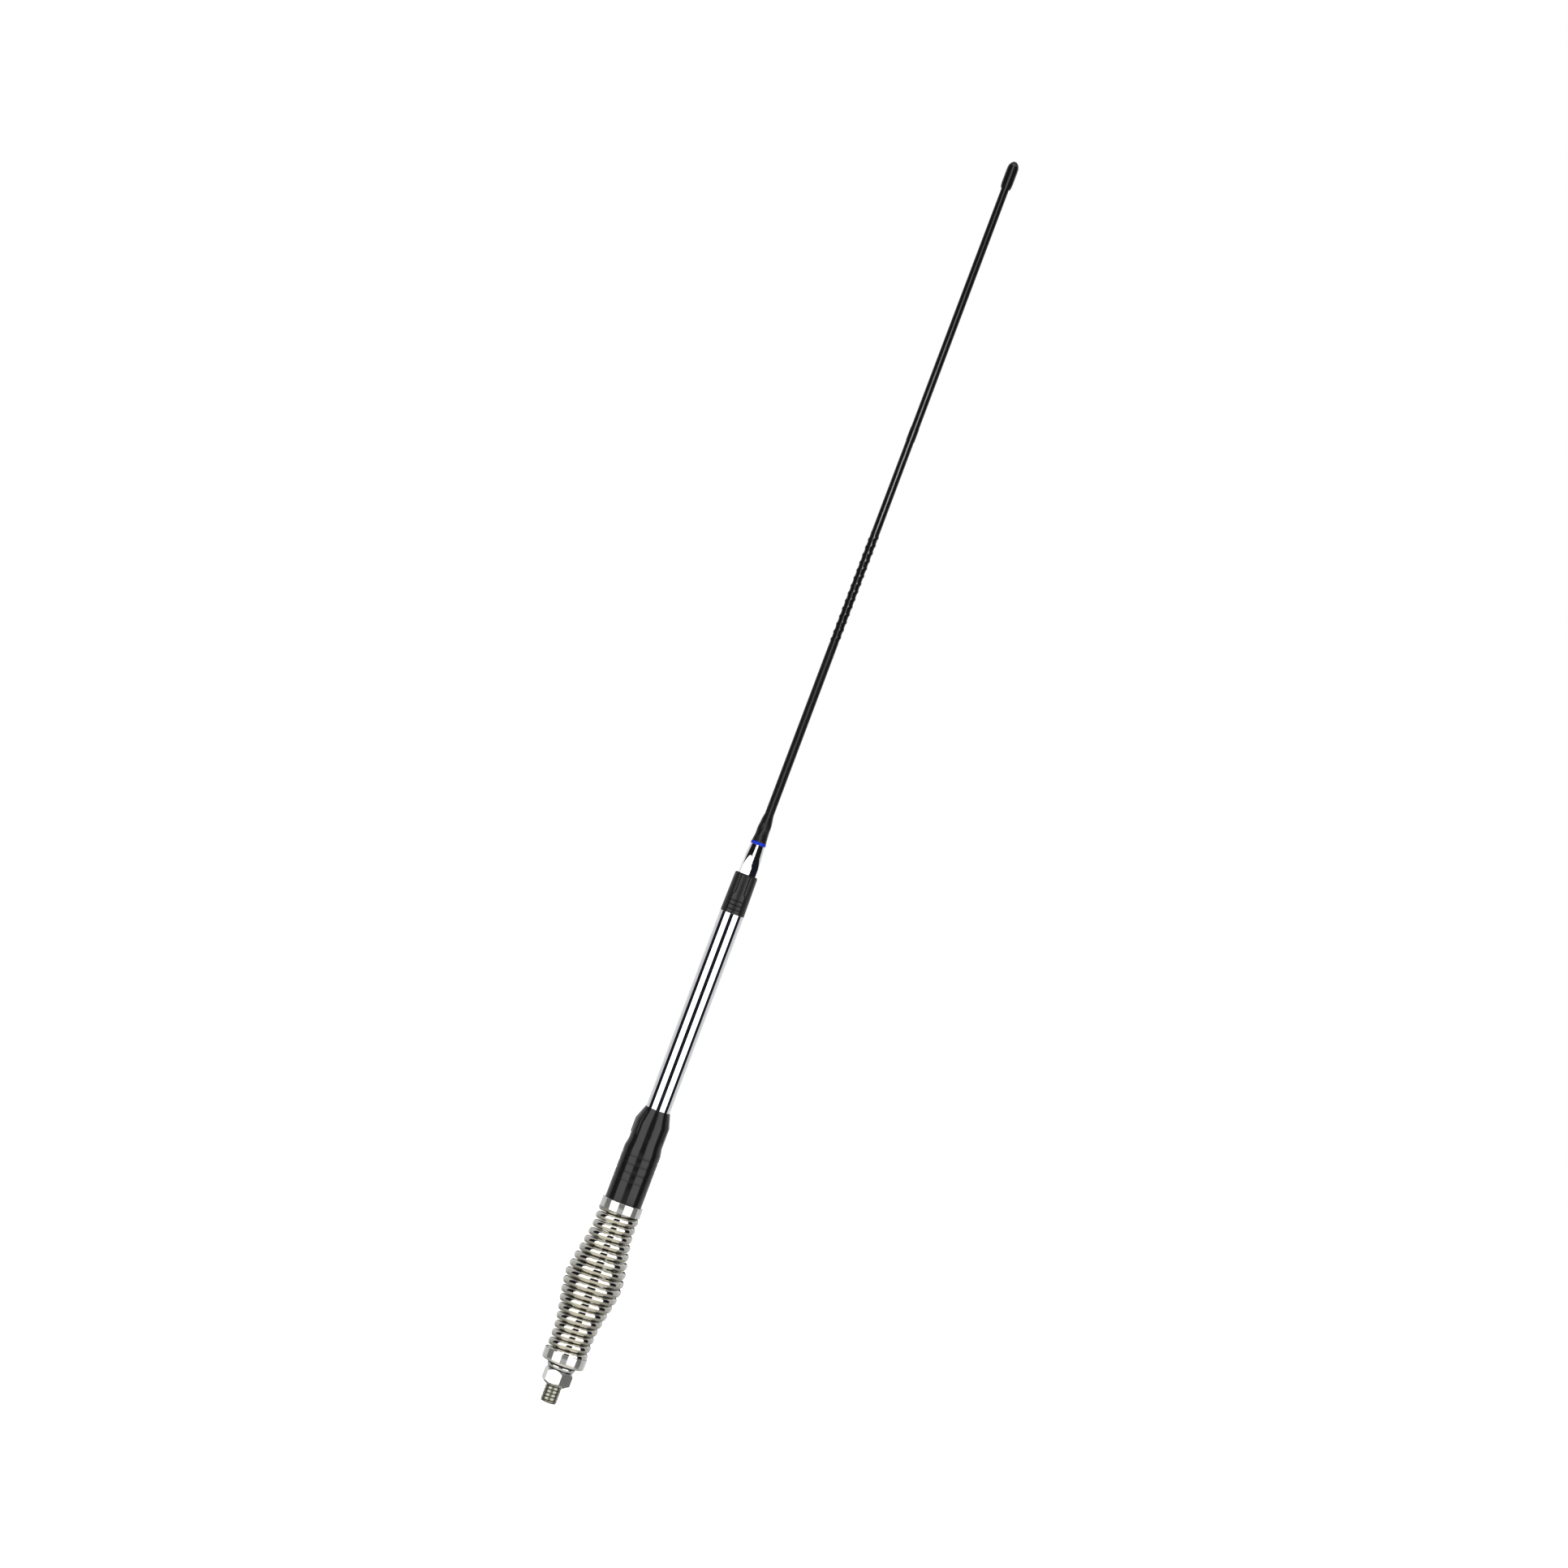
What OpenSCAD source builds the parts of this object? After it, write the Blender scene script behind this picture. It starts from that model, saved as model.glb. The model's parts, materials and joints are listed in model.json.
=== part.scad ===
// Mobile radio antenna: threaded stud, barrel spring, moulded base, feed tube and whip.
// The antenna stands along Z, the hex's underside is at z = 0 and the front faces -Y.

/* [Mounting stud] */
// Diameter over the thread
stud_d = 12.7; // [12:0.1:15]
// Length of the thread below the hex
stud_len = 14; // [12:0.5:24]
// Bevel at the foot of the thread
stud_bevel = 0.8; // [0.3:0.1:1.2]
// Wall left round the coaxial socket
stud_wall = 2.05; // [1.6:0.05:2.4]
// Width of the hex across its flats
hex_af = 20.6; // [19:0.1:24]
// Height of the hex
hex_h = 12.6; // [9:0.1:16]
// Height of the hex's bevels, measured at its corners
hex_bevel = 2.8; // [1.5:0.1:3.2]
// Angle that the hex is turned by
hex_turn = -14.7; // [-30:0.1:30]
// Diameter of the hex's flat ends, inside its bevels
hex_end_d = 18.8; // [17:0.1:19]
// Diameter that is left at the foot of the hex
hex_foot_d = 15.4; // [14.8:0.1:18]
// Diameter of the round bead above the hex
bead_d = 19.6; // [18:0.1:21]
// Height of the round bead
bead_h = 2.2; // [1.5:0.1:3]
// Diameter of the flange under the ferrule
flange_d = 22.8; // [21:0.1:26]
// Height of the flange
flange_h = 2.8; // [2:0.1:4]
// Bevel under the flange
flange_bevel = 1.1; // [0.4:0.1:1.6]
// Diameter of the spigot that screws into the ferrule
spigot_d = 16; // [14:0.1:18]
// Length of that spigot
spigot_len = 8; // [6:0.1:9]

/* [Coaxial socket] */
// Free depth of the socket's mouth
mouth_depth = 6; // [4:0.5:7]
// Step from the mouth down to the insulator's seat
seat_step = 0.4; // [0.2:0.1:0.8]
// Length of the insulator behind the mouth
insulator_len = 6; // [4:0.5:7]
// Diameter of the centre contact
contact_d = 2.4; // [2:0.1:3]
// Hole in the centre contact
contact_hole_d = 1; // [0.8:0.1:1.2]
// Depth of that hole
contact_hole_depth = 4; // [2:0.5:4]

/* [Feed cable] */
// Diameter of the coaxial cable
cable_d = 5; // [4:0.1:6]
// Diameter of its bared core
core_d = 1.4; // [1:0.1:1.8]
// Length of core bared at the cable's foot
core_len = 3; // [2:0.5:5]
// Length of core bared below the whip stud
core_lead = 10; // [6:0.5:14]
// Depth that the core is soldered into the whip stud
solder_depth = 3; // [2:0.5:5]
// Length of jacket left above the earth plug
jacket_past_plug = 2; // [1:0.5:5]

/* [Spring ferrules] */
// Diameter of the lower ferrule
lower_ferrule_d = 34.4; // [33:0.1:38]
// Height of the lower ferrule
lower_ferrule_h = 9.2; // [9.2:0.1:13]
// Rounding of the lower ferrule's bottom edge
lower_round = 1.9; // [1:0.1:2.5]
// Diameter of the upper ferrule
upper_ferrule_d = 32.8; // [31:0.1:36]
// Height of the upper ferrule
upper_ferrule_h = 8.3; // [7:0.1:12]
// Bevel on the ferrules' sharp edges
rim_bevel = 0.5; // [0.2:0.1:1]
// Length of each ferrule's boss inside the coils
boss_len = 9; // [5:0.5:14]
// Gap between the boss and the coils
boss_gap = 0.4; // [0.2:0.1:0.8]

/* [Barrel spring] */
// Diameter of the spring wire
wire_d = 6.6; // [5.6:0.1:6.9]
// Height gained by each coil
coil_pitch = 6.97; // [6.95:0.01:8]
// Number of coils between the seats
coil_turns = 16.25; // [12.25:1:20.25]
// Outer diameter of the end coils
end_coil_d = 33.4; // [32:0.1:34]
// Outer diameter of the middle coil
barrel_d = 47.4; // [40:0.1:56]
// Height of the widest coil above the lower seat
belly_h = 59.5; // [50:0.5:66]
// Height over which the coils swell on each side of the belly
swell_h = 43; // [34:0.5:48]
// Angle of wire left past the lower seat, ground flat
lower_tail = 310; // [120:1:320]
// Angle of wire left past the upper seat, ground flat
upper_tail = 150; // [60:1:160]

/* [Base moulding] */
// Diameter of the grip
grip_d = 29.6; // [28:0.1:34]
// Height of the grip
grip_h = 42.5; // [36:0.5:60]
// Height of the taper above the grip
taper_h = 6.3; // [4:0.1:10]
// Diameter of the waist above that taper
waist_d = 27.2; // [26.5:0.1:29]
// Height of the waist
waist_h = 16.4; // [12:0.1:24]
// Height of the cone that ends at the tube
cone_h = 11.3; // [8:0.1:16]
// Wall of the lip that meets the tube
lip_wall = 0.55; // [0.4:0.05:1]
// Number of grooves round the grip
groove_count = 4; // [2:1:5]
// Height from one groove to the next
groove_pitch = 6.64; // [5:0.01:8]
// Height of each groove
groove_h = 0.7; // [0.4:0.1:1.2]
// Depth of the grooves
groove_depth = 0.45; // [0.2:0.05:0.8]
// Distance from the top of the grip to the first groove
groove_drop = 5.3; // [4:0.1:10]
// Number of ribs on the waist
rib_count = 7; // [4:1:12]
// Angle of the first rib from the front
rib_turn = 5; // [0:1:30]
// Thickness of each rib
rib_w = 0.9; // [0.6:0.1:1.6]
// Height that a rib stands out
rib_out = 0.5; // [0.3:0.1:0.9]
// Length of a rib on the waist
rib_waist_len = 11.7; // [8:0.1:15]
// Length of a rib on the cone
rib_cone_len = 8.5; // [2:0.1:10]

/* [Base insert] */
// Diameter of the insert's thread in the upper ferrule
insert_d = 16; // [14:0.1:18]
// Length of that thread
insert_thread_len = 6.5; // [5:0.5:6.5]
// Diameter of the insert's flange inside the moulding
insert_flange_d = 22; // [20:0.1:24]
// Height of that flange
insert_flange_h = 8; // [6:0.5:12]
// Length of the insert inside the tube
insert_tube_len = 22; // [14:1:30]
// Section of the sealing ring round the tube
seal_d = 1.8; // [1.2:0.1:2]
// Height of the sealing ring above the start of the waist
seal_h = 9; // [4:0.5:12]

/* [Mast tube] */
// Outer diameter of the tube
tube_d = 19.05; // [18.5:0.05:19.5]
// Wall of the tube
tube_wall = 1.2; // [0.8:0.1:1.5]
// Length of tube that shows between the mouldings
tube_bare_len = 163.1; // [120:1:220]
// Thickness of the discs that centre the cable
spacer_h = 8; // [5:0.5:14]
// Number of those discs
spacer_count = 2; // [1:1:4]
// Height of the plug that joins the cable's braid to the tube
earth_plug_h = 8; // [5:0.5:12]

/* [Feed collar] */
// Diameter of the collar at its foot
collar_foot_d = 19.3; // [19.2:0.1:21]
// Diameter of the collar at its top
collar_top_d = 18.2; // [17.6:0.1:19]
// Height of the collar
collar_h = 32.1; // [28:0.1:40]
// Bevel at the top of the collar
collar_bevel = 0.9; // [0.4:0.1:1.5]
// Length of the collar's spigot inside the tube
collar_spigot_len = 18; // [12:1:24]
// Width of the moulded panel's upper part
panel_top_w = 7.1; // [5:0.1:8.5]
// Width of the moulded panel's lower part
panel_foot_w = 10.5; // [9:0.1:12]
// Height of the panel's lower part
panel_foot_h = 14.6; // [12.5:0.1:16]
// Height of the step between the two
panel_step_h = 2.3; // [1:0.1:4]
// Width of the panel's outline
line_w = 0.6; // [0.4:0.1:1]
// Depth of the panel's outline
line_depth = 0.45; // [0.2:0.05:0.7]
// Number of level lines across the panel's foot
level_count = 3; // [1:1:3]
// Height of the lowest level line
level_first = 3.2; // [2:0.1:5]
// Height from one level line to the next
level_pitch = 3.55; // [2:0.05:4]

/* [Whip stud] */
// Diameter of the stud that the whip screws on
whip_stud_d = 7.94; // [7:0.01:8]
// Length of the stud above the collar
whip_stud_top = 13; // [9:0.5:14]
// Length of the stud below the collar's spigot
whip_stud_tail = 9; // [8:0.5:14]
// Width of the stud's nut across its flats
nut_af = 12.7; // [11.5:0.1:13.5]
// Height of that nut
nut_h = 5.2; // [4:0.1:6]
// Outer diameter of the feed terminal
terminal_d = 13; // [11:0.5:15]
// Thickness of the feed terminal
terminal_h = 1; // [0.6:0.1:1.5]
// Section of the sealing ring under the whip
whip_seal_d = 1.1; // [0.8:0.1:1.2]
// Middle diameter of that sealing ring
whip_seal_mid_d = 11; // [10.4:0.1:11.4]

/* [Whip ferrule] */
// Width of the whip ferrule across its flats
whip_af = 13; // [12:0.1:14]
// Diameter of the whip ferrule's round foot
whip_foot_d = 14.7; // [14.4:0.1:16]
// Height of that round foot
whip_foot_h = 6.4; // [4:0.1:10]
// Diameter at the top of the whip ferrule's cone
whip_cone_d = 11.2; // [10.4:0.1:11.8]
// Height of the whip ferrule below the colour ring
whip_ferrule_h = 24.5; // [20:0.1:30]
// Angle that the whip ferrule's flats are turned by
whip_turn = -19.6; // [-30:0.1:30]
// Diameter of the neck inside the boot
neck_d = 9; // [8.2:0.1:9.4]
// Length of that neck
neck_len = 14; // [10:0.5:18]
// Diameter of the colour ring
ring_d = 12.1; // [11.6:0.1:13]
// Height of the colour ring
ring_h = 2.3; // [1.5:0.1:4]

/* [Boot] */
// Diameter of the boot at its foot
boot_foot_d = 11.7; // [11.2:0.1:12.5]
// Diameter of the boot where it closes on the whip
boot_top_d = 8.2; // [8:0.1:9]
// Height of the boot
boot_h = 22.4; // [22:0.1:28]
// Wall of the boot where it grips the neck
boot_wall = 0.55; // [0.4:0.05:1]

/* [Whip] */
// Length of the fibreglass rod above the collar
rod_above = 586.5; // [500:1:900]
// Diameter of the rod at its foot
rod_foot_d = 4.8; // [4.2:0.1:5]
// Diameter of the rod at its tip
rod_tip_d = 3.8; // [3.2:0.1:4.4]
// Diameter of the rod's straight seat under the phasing coil
coil_seat_d = 4.3; // [4:0.1:4.6]
// Diameter of the copper wire inside the rod
radiator_d = 0.9; // [0.6:0.1:1.2]
// Length of rod left above the end of that wire
radiator_short = 6; // [3:0.5:12]
// Diameter of the lower sleeve at its foot
sleeve_foot_d = 7.2; // [6.9:0.1:7.6]
// Diameter of the lower sleeve under the phasing coil
sleeve_top_d = 6.9; // [6.4:0.1:7.2]
// Diameter of the middle sleeve above the phasing coil
middle_foot_d = 6.7; // [6.4:0.1:7.2]
// Diameter of the middle sleeve where the upper one covers it
middle_top_d = 6.4; // [6:0.1:6.5]
// Diameter of the upper sleeve's cuff, over the middle sleeve
cuff_d = 7; // [6.9:0.1:8]
// Length of that cuff
cuff_len = 9.6; // [6:0.1:16]
// Diameter of the upper sleeve above its cuff
upper_sleeve_d = 6.5; // [6.2:0.1:6.8]
// Diameter of the upper sleeve at the tip
upper_tip_d = 6.1; // [5.8:0.1:6.4]
// Height of the upper sleeve's lower end above the collar
joint_height = 359.5; // [320:1:420]

/* [Phasing coil] */
// Height of the phasing coil's foot above the collar
phasing_from = 191; // [150:1:220]
// Length of the phasing coil
phasing_len = 92; // [70:1:100]
// Height gained by each turn of the phasing coil
phasing_pitch = 6.36; // [5.5:0.01:8]
// Diameter of the phasing coil's wire
phasing_wire_d = 0.6; // [0.4:0.05:0.7]
// Wall of the jacket that is shrunk over the coil
jacket_wall = 0.3; // [0.25:0.05:0.8]
// Height that the wire lifts the jacket by
jacket_ridge = 0.45; // [0.2:0.05:0.8]
// Height of the bump over the soldered end of the coil
solder_bump = 0.5; // [0.2:0.05:0.8]
// Length of that bump
solder_len = 3.6; // [2:0.1:6]

/* [Tip cap] */
// Diameter of the tip cap
cap_d = 8.9; // [8.4:0.1:11]
// Length of the tip cap
cap_len = 22.6; // [16:0.1:30]
// Thickness of the cap above the rod
cap_roof = 4.6; // [3:0.1:6]
// Length of the cap's dome
cap_dome = 6.6; // [4:0.1:8]

/* [Fits] */
// Clearance on the radius between fitted pieces
fit = 0.05; // [0.02:0.01:0.1]
// Gap between stacked faces
seat_gap = 0.05; // [0.02:0.01:0.1]

/* [Hidden] */
$fn = 48;

chrome = [0.82, 0.83, 0.84];
nickel = [0.74, 0.73, 0.68];
brass = [0.78, 0.62, 0.30];
copper = [0.80, 0.45, 0.26];
gloss_black = [0.05, 0.05, 0.06];
jacket_black = [0.09, 0.09, 0.10];
ring_blue = [0.04, 0.16, 0.80];
insulator_white = [0.93, 0.93, 0.90];
rod_cream = [0.85, 0.82, 0.68];

// Heights of the stack, from the foot of the stud upwards
bead_z = hex_h;
flange_z = bead_z + bead_h;
lower_ferrule_z = flange_z + flange_h;
lower_rim_z = lower_ferrule_z + lower_ferrule_h;
spring_z = lower_rim_z + seat_gap;
spring_h = wire_d/2 + coil_pitch*coil_turns;
upper_rim_z = spring_z + spring_h + seat_gap;
grip_z = upper_rim_z + upper_ferrule_h;
taper_z = grip_z + grip_h;
waist_z = taper_z + taper_h;
cone_z = waist_z + waist_h;
grip_top_z = cone_z + cone_h;
collar_z = grip_top_z + tube_bare_len;
collar_top_z = collar_z + collar_h;
whip_z = collar_top_z + seat_gap;
ring_z = whip_z + whip_ferrule_h;
boot_z = ring_z + ring_h + seat_gap;
neck_top_z = ring_z + neck_len;
sleeve_z = neck_top_z + seat_gap;

// Socket and cable
socket_r = stud_d/2 - stud_wall;
insulator_r = socket_r - seat_step;
insulator_z = mouth_depth - stud_len;
socket_top_z = insulator_z + insulator_len;
cable_r = cable_d/2;
cable_bore_r = cable_r + fit;
lower_boss_top_z = lower_rim_z + boss_len;
upper_boss_foot_z = upper_rim_z - boss_len;

// Spring wire
coil_steps = 20;
wire_sides = 8;
wire_r = wire_d/2;
end_coil_r = end_coil_d/2 - wire_r;
belly_r = barrel_d/2 - wire_r;
boss_r = (end_coil_r - wire_r)*cos(180/coil_steps) - boss_gap;
lift_angle = -170;

// Tube and base insert
tube_r = tube_d/2;
tube_bore_r = tube_r - tube_wall;
insert_tube_z = grip_z + insert_flange_h;
tube_z = insert_tube_z + seat_gap;
seal_groove_h = seal_d + 0.4;
lip_r = tube_r + fit + lip_wall;

// Feed point, from the collar's spigot downwards
spigot_foot_z = collar_z - collar_spigot_len;
terminal_z = spigot_foot_z - seat_gap - terminal_h;
nut_z = terminal_z - seat_gap - nut_h;
tail_z = spigot_foot_z - whip_stud_tail;
stud_top_z = whip_z + whip_stud_top;
whip_stud_r = whip_stud_d/2;
jacket_top_z = tail_z - core_lead;
earth_plug_z = jacket_top_z - jacket_past_plug - earth_plug_h;
spacer_span = earth_plug_z - insert_tube_z - insert_tube_len;

// Whip
rod_z = stud_top_z + seat_gap;
rod_top_z = collar_top_z + rod_above;
cuff_z = collar_top_z + joint_height;
cuff_top_z = cuff_z + cuff_len;
coil_z = collar_top_z + phasing_from;
coil_top_z = coil_z + phasing_len;
jacket_over = phasing_pitch/4;
coil_seat_z = coil_z - jacket_over;
coil_seat_top_z = coil_top_z + jacket_over;
radiator_r = radiator_d/2;
radiator_bore_r = radiator_r + fit;
phasing_turns = phasing_len/phasing_pitch;
winding_steps = 12;
phasing_r = (coil_seat_d/2 + fit + phasing_wire_d/2)/cos(180/winding_steps);
jacket_bore_r = phasing_r + phasing_wire_d/2 + fit;
cap_z = rod_top_z + cap_roof - cap_len;
overlap = 0.5;

function lerp(a, b, t) = a + (b - a)*t;

// Points along a round edge
function arc(x, y, r, from, to, steps = 6) =
    [for (i = [0:steps]) let (a = lerp(from, to, i/steps)) [x + r*cos(a), y + r*sin(a)]];

// Radius of the rod at a height: two tapers with a straight seat between them
function rod_r(z) = z < coil_seat_z ? lerp(rod_foot_d, coil_seat_d, (z - rod_z)/(coil_seat_z - rod_z))/2
    : z < coil_seat_top_z ? coil_seat_d/2
    : lerp(coil_seat_d, rod_tip_d, (z - coil_seat_top_z)/(rod_top_z - coil_seat_top_z))/2;

// How far the coils have swollen, from 0 at the ends to 1 at the belly
function swell(z) = let (t = min(1, abs(z - spring_z - belly_h)/swell_h)) (1 - t + pow(cos(90*t), 2))/2;

// Triangles that close the ring starting at point base, fanned out from its point number apex
function fan(base, apex, sides, dir) = [for (i = [1:sides - 2])
    let (p = base + (apex + dir*i + sides)%sides, q = base + (apex + dir*(i + 1) + sides)%sides)
    [base + apex, p, q]];

// Triangles of a closed tube of rings, each end fanned from the side that isn't ground flat
function tube_faces(rings, sides) = concat(
    fan(0, sides - 3, sides, 1),
    [for (i = [0:rings - 2], j = [0:sides - 1])
        let (k = (j + 1)%sides, low = i*sides, high = low + sides)
        each [[low + j, high + j, high + k], [low + j, high + k, low + k]]],
    fan((rings - 1)*sides, 1, sides, -1));

// A ring of points round a coil's wire, whose flats touch the wire, seen from the front at angle 0
function wire_ring(angle, r, z, wire_r, sides, low, high) =
    [for (j = [0:sides - 1])
        let (a = 360*(j + 0.5)/sides, corner = wire_r/cos(180/sides), out = r + corner*cos(a))
        [out*sin(angle), -out*cos(angle), max(low, min(high, z - corner*sin(a)))]];

// A tube with a straight bore
module pipe(r_out, r_in, z, h) {
    translate([0, 0, z]) difference() {
        cylinder(r = r_out, h = h);
        translate([0, 0, -overlap]) cylinder(r = r_in, h = h + 2*overlap);
    }
}

// A straight hole that runs past both of its ends
module bore(r, from, to) {
    translate([0, 0, from - overlap]) cylinder(r = r, h = to - from + 2*overlap);
}

// Hex bar with flats across the width af, turned by an angle
module hex_bar(af, z, h, turn) {
    translate([0, 0, z]) rotate([0, 0, turn]) cylinder(r = af/2/cos(30), h = h, $fn = 6);
}

// Bared core below, jacket above, or the other way round
module cable(core_from, core_to, jacket_from, jacket_to) {
    translate([0, 0, core_from]) cylinder(r = core_d/2, h = core_to - core_from);
    translate([0, 0, jacket_from]) cylinder(r = cable_r, h = jacket_to - jacket_from);
}

module mounting_stud() {
    hex_end_r = hex_end_d/2;
    hex_corner_r = hex_af/2/cos(30) + fit;
    flange_r = flange_d/2;
    spigot_top_z = lower_ferrule_z + spigot_len;
    bead_r = (bead_d - bead_h)/2;
    color(chrome) difference() {
        union() {
            rotate_extrude() polygon([[0, -stud_len], [stud_d/2 - stud_bevel, -stud_len],
                [stud_d/2, stud_bevel - stud_len], [stud_d/2, overlap], [0, overlap]]);
            intersection() {
                hex_bar(hex_af, 0, hex_h, hex_turn);
                rotate_extrude() polygon([[0, 0], [hex_foot_d/2, 0], [hex_corner_r, hex_bevel],
                    [hex_corner_r, hex_h - hex_bevel], [hex_end_r, hex_h], [0, hex_h]]);
            }
            rotate_extrude() polygon(concat([[0, bead_z - overlap]],
                [[hex_end_r, bead_z - overlap], [hex_end_r, bead_z]],
                arc(bead_r, bead_z + bead_h/2, bead_h/2, -70, 70),
                [[flange_r - flange_bevel, flange_z], [flange_r, flange_z + flange_bevel]],
                [[flange_r, lower_ferrule_z], [spigot_d/2, lower_ferrule_z]],
                [[spigot_d/2, spigot_top_z - rim_bevel], [spigot_d/2 - rim_bevel, spigot_top_z]],
                [[0, spigot_top_z]]));
        }
        bore(socket_r, -stud_len, insulator_z - overlap);
        bore(insulator_r, insulator_z, socket_top_z - overlap);
        bore(cable_bore_r, socket_top_z, spigot_top_z);
    }
}

module socket_insulator() {
    color(insulator_white)
        pipe(insulator_r - fit, contact_d/2 + fit, insulator_z, insulator_len - seat_gap);
}

module socket_contact() {
    color(brass) translate([0, 0, insulator_z]) difference() {
        cylinder(r = contact_d/2, h = insulator_len);
        translate([0, 0, -overlap]) cylinder(r = contact_hole_d/2, h = contact_hole_depth + overlap);
    }
}

module cable_lower() {
    color(jacket_black) cable(socket_top_z + seat_gap, socket_top_z + core_len + overlap,
        socket_top_z + core_len, lower_boss_top_z);
}

module lower_ferrule() {
    r = lower_ferrule_d/2;
    z = lower_ferrule_z + seat_gap;
    color(chrome) difference() {
        rotate_extrude() polygon(concat([[0, z]],
            arc(r - lower_round, z + lower_round, lower_round, -90, 0),
            [[r, lower_rim_z - rim_bevel], [r - rim_bevel, lower_rim_z]],
            [[boss_r, lower_rim_z], [boss_r, lower_boss_top_z - rim_bevel]],
            [[boss_r - rim_bevel, lower_boss_top_z], [0, lower_boss_top_z]]));
        bore(cable_bore_r, z, lower_boss_top_z);
        bore(spigot_d/2 + fit, z, lower_ferrule_z + spigot_len + seat_gap - overlap);
    }
}

// A barrel of touching coils, wound to the right, with both ends ground flat
module barrel_spring() {
    first = lift_angle - lower_tail;
    last = lift_angle + 360*coil_turns + upper_tail;
    rings = ceil((last - first)/360*coil_steps) + 1;
    points = [for (i = [0:rings - 1])
        let (angle = lerp(first, last, i/(rings - 1)),
             z = spring_z + wire_r + coil_pitch*(angle - lift_angle)/360)
        each wire_ring(angle, lerp(end_coil_r, belly_r, swell(z)), z, wire_r, wire_sides,
            spring_z, spring_z + spring_h)];
    color(nickel) polyhedron(points, tube_faces(rings, wire_sides));
}

module cable_spring() {
    color(jacket_black) translate([0, 0, lower_boss_top_z + seat_gap])
        cylinder(r = cable_r, h = upper_boss_foot_z - lower_boss_top_z - 2*seat_gap);
}

module upper_ferrule() {
    r = upper_ferrule_d/2;
    top = grip_z - seat_gap;
    color(chrome) difference() {
        rotate_extrude() polygon([[0, upper_boss_foot_z], [boss_r - rim_bevel, upper_boss_foot_z],
            [boss_r, upper_boss_foot_z + rim_bevel], [boss_r, upper_rim_z],
            [r - rim_bevel, upper_rim_z], [r, upper_rim_z + rim_bevel],
            [r, top - rim_bevel], [r - rim_bevel, top], [0, top]]);
        bore(cable_bore_r, upper_boss_foot_z, top);
        bore(insert_d/2 + fit, grip_z - insert_thread_len - seat_gap + overlap, top);
    }
}

module base_insert() {
    color(brass) difference() {
        rotate_extrude() polygon([[0, grip_z - insert_thread_len], [insert_d/2, grip_z - insert_thread_len],
            [insert_d/2, grip_z], [insert_flange_d/2, grip_z],
            [insert_flange_d/2, insert_tube_z], [tube_bore_r - fit, insert_tube_z],
            [tube_bore_r - fit, insert_tube_z + insert_tube_len], [0, insert_tube_z + insert_tube_len]]);
        bore(cable_bore_r, grip_z - insert_thread_len, insert_tube_z + insert_tube_len);
    }
}

// One of the thin upright ribs on the waist, running out on the cone
module waist_rib() {
    foot_z = cone_z - rib_waist_len;
    top_z = cone_z + rib_cone_len;
    r = waist_d/2;
    top_r = lerp(r, lip_r, rib_cone_len/cone_h);
    rotate([90, 0, 0]) linear_extrude(height = rib_w, center = true) polygon([
        [r - rib_w, foot_z], [r, foot_z], [r + rib_out, foot_z + 2*rib_out],
        [r + rib_out, cone_z], [top_r, top_z], [top_r - rib_w, top_z]]);
}

module base_moulding() {
    edge = 0.4;
    color(gloss_black) difference() {
        union() {
            rotate_extrude() polygon([[0, grip_z], [grip_d/2 - edge, grip_z], [grip_d/2, grip_z + edge],
                [grip_d/2, taper_z], [waist_d/2, waist_z], [waist_d/2, cone_z],
                [lip_r, grip_top_z], [0, grip_top_z]]);
            for (i = [0:rib_count - 1]) rotate([0, 0, rib_turn + i*360/rib_count - 90]) waist_rib();
        }
        for (i = [0:groove_count - 1]) translate([0, 0, taper_z - groove_drop - i*groove_pitch])
            pipe(grip_d/2 + overlap, grip_d/2 - groove_depth, -groove_h/2, groove_h);
        bore(insert_flange_d/2 + fit, grip_z, insert_tube_z + seat_gap - overlap);
        bore(tube_r + fit, grip_z, grip_top_z);
        translate([0, 0, waist_z + seal_h - seal_groove_h/2])
            cylinder(r = tube_r + 2*fit + seal_d, h = seal_groove_h);
    }
}

module tube_seal() {
    color(gloss_black) translate([0, 0, waist_z + seal_h])
        rotate_extrude() translate([tube_r + fit + seal_d/2, 0]) circle(d = seal_d);
}

module mast_tube() {
    color(chrome) pipe(tube_r, tube_bore_r, tube_z, collar_z - seat_gap - tube_z);
}

module cable_upper() {
    color(jacket_black) cable(jacket_top_z - overlap, tail_z + solder_depth,
        upper_boss_foot_z, jacket_top_z);
}

module cable_spacers() {
    color(insulator_white) for (i = [1:spacer_count])
        pipe(tube_bore_r - fit, cable_bore_r,
            insert_tube_z + insert_tube_len + spacer_span*i/(spacer_count + 1) - spacer_h/2, spacer_h);
}

module earth_plug() {
    color(brass) pipe(tube_bore_r - fit, cable_bore_r, earth_plug_z, earth_plug_h);
}

// Outline of the moulded panel on the collar, drawn on the front plane
module panel_lines() {
    foot_z = collar_z - overlap;
    step_z = collar_z + panel_foot_h;
    upper_z = step_z + panel_step_h;
    for (side = [0, 1]) mirror([side, 0]) {
        translate([panel_foot_w/2 - line_w/2, foot_z]) square([line_w, step_z - foot_z]);
        polygon([[panel_foot_w/2 - line_w/2, step_z], [panel_foot_w/2 + line_w/2, step_z],
            [panel_top_w/2 + line_w/2, upper_z], [panel_top_w/2 - line_w/2, upper_z]]);
        translate([panel_top_w/2 - line_w/2, upper_z]) square([line_w, collar_top_z + overlap - upper_z]);
    }
    for (i = [0:level_count - 1])
        translate([-panel_foot_w/2, collar_z + level_first + i*level_pitch - line_w/2])
            square([panel_foot_w, line_w]);
}

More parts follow.
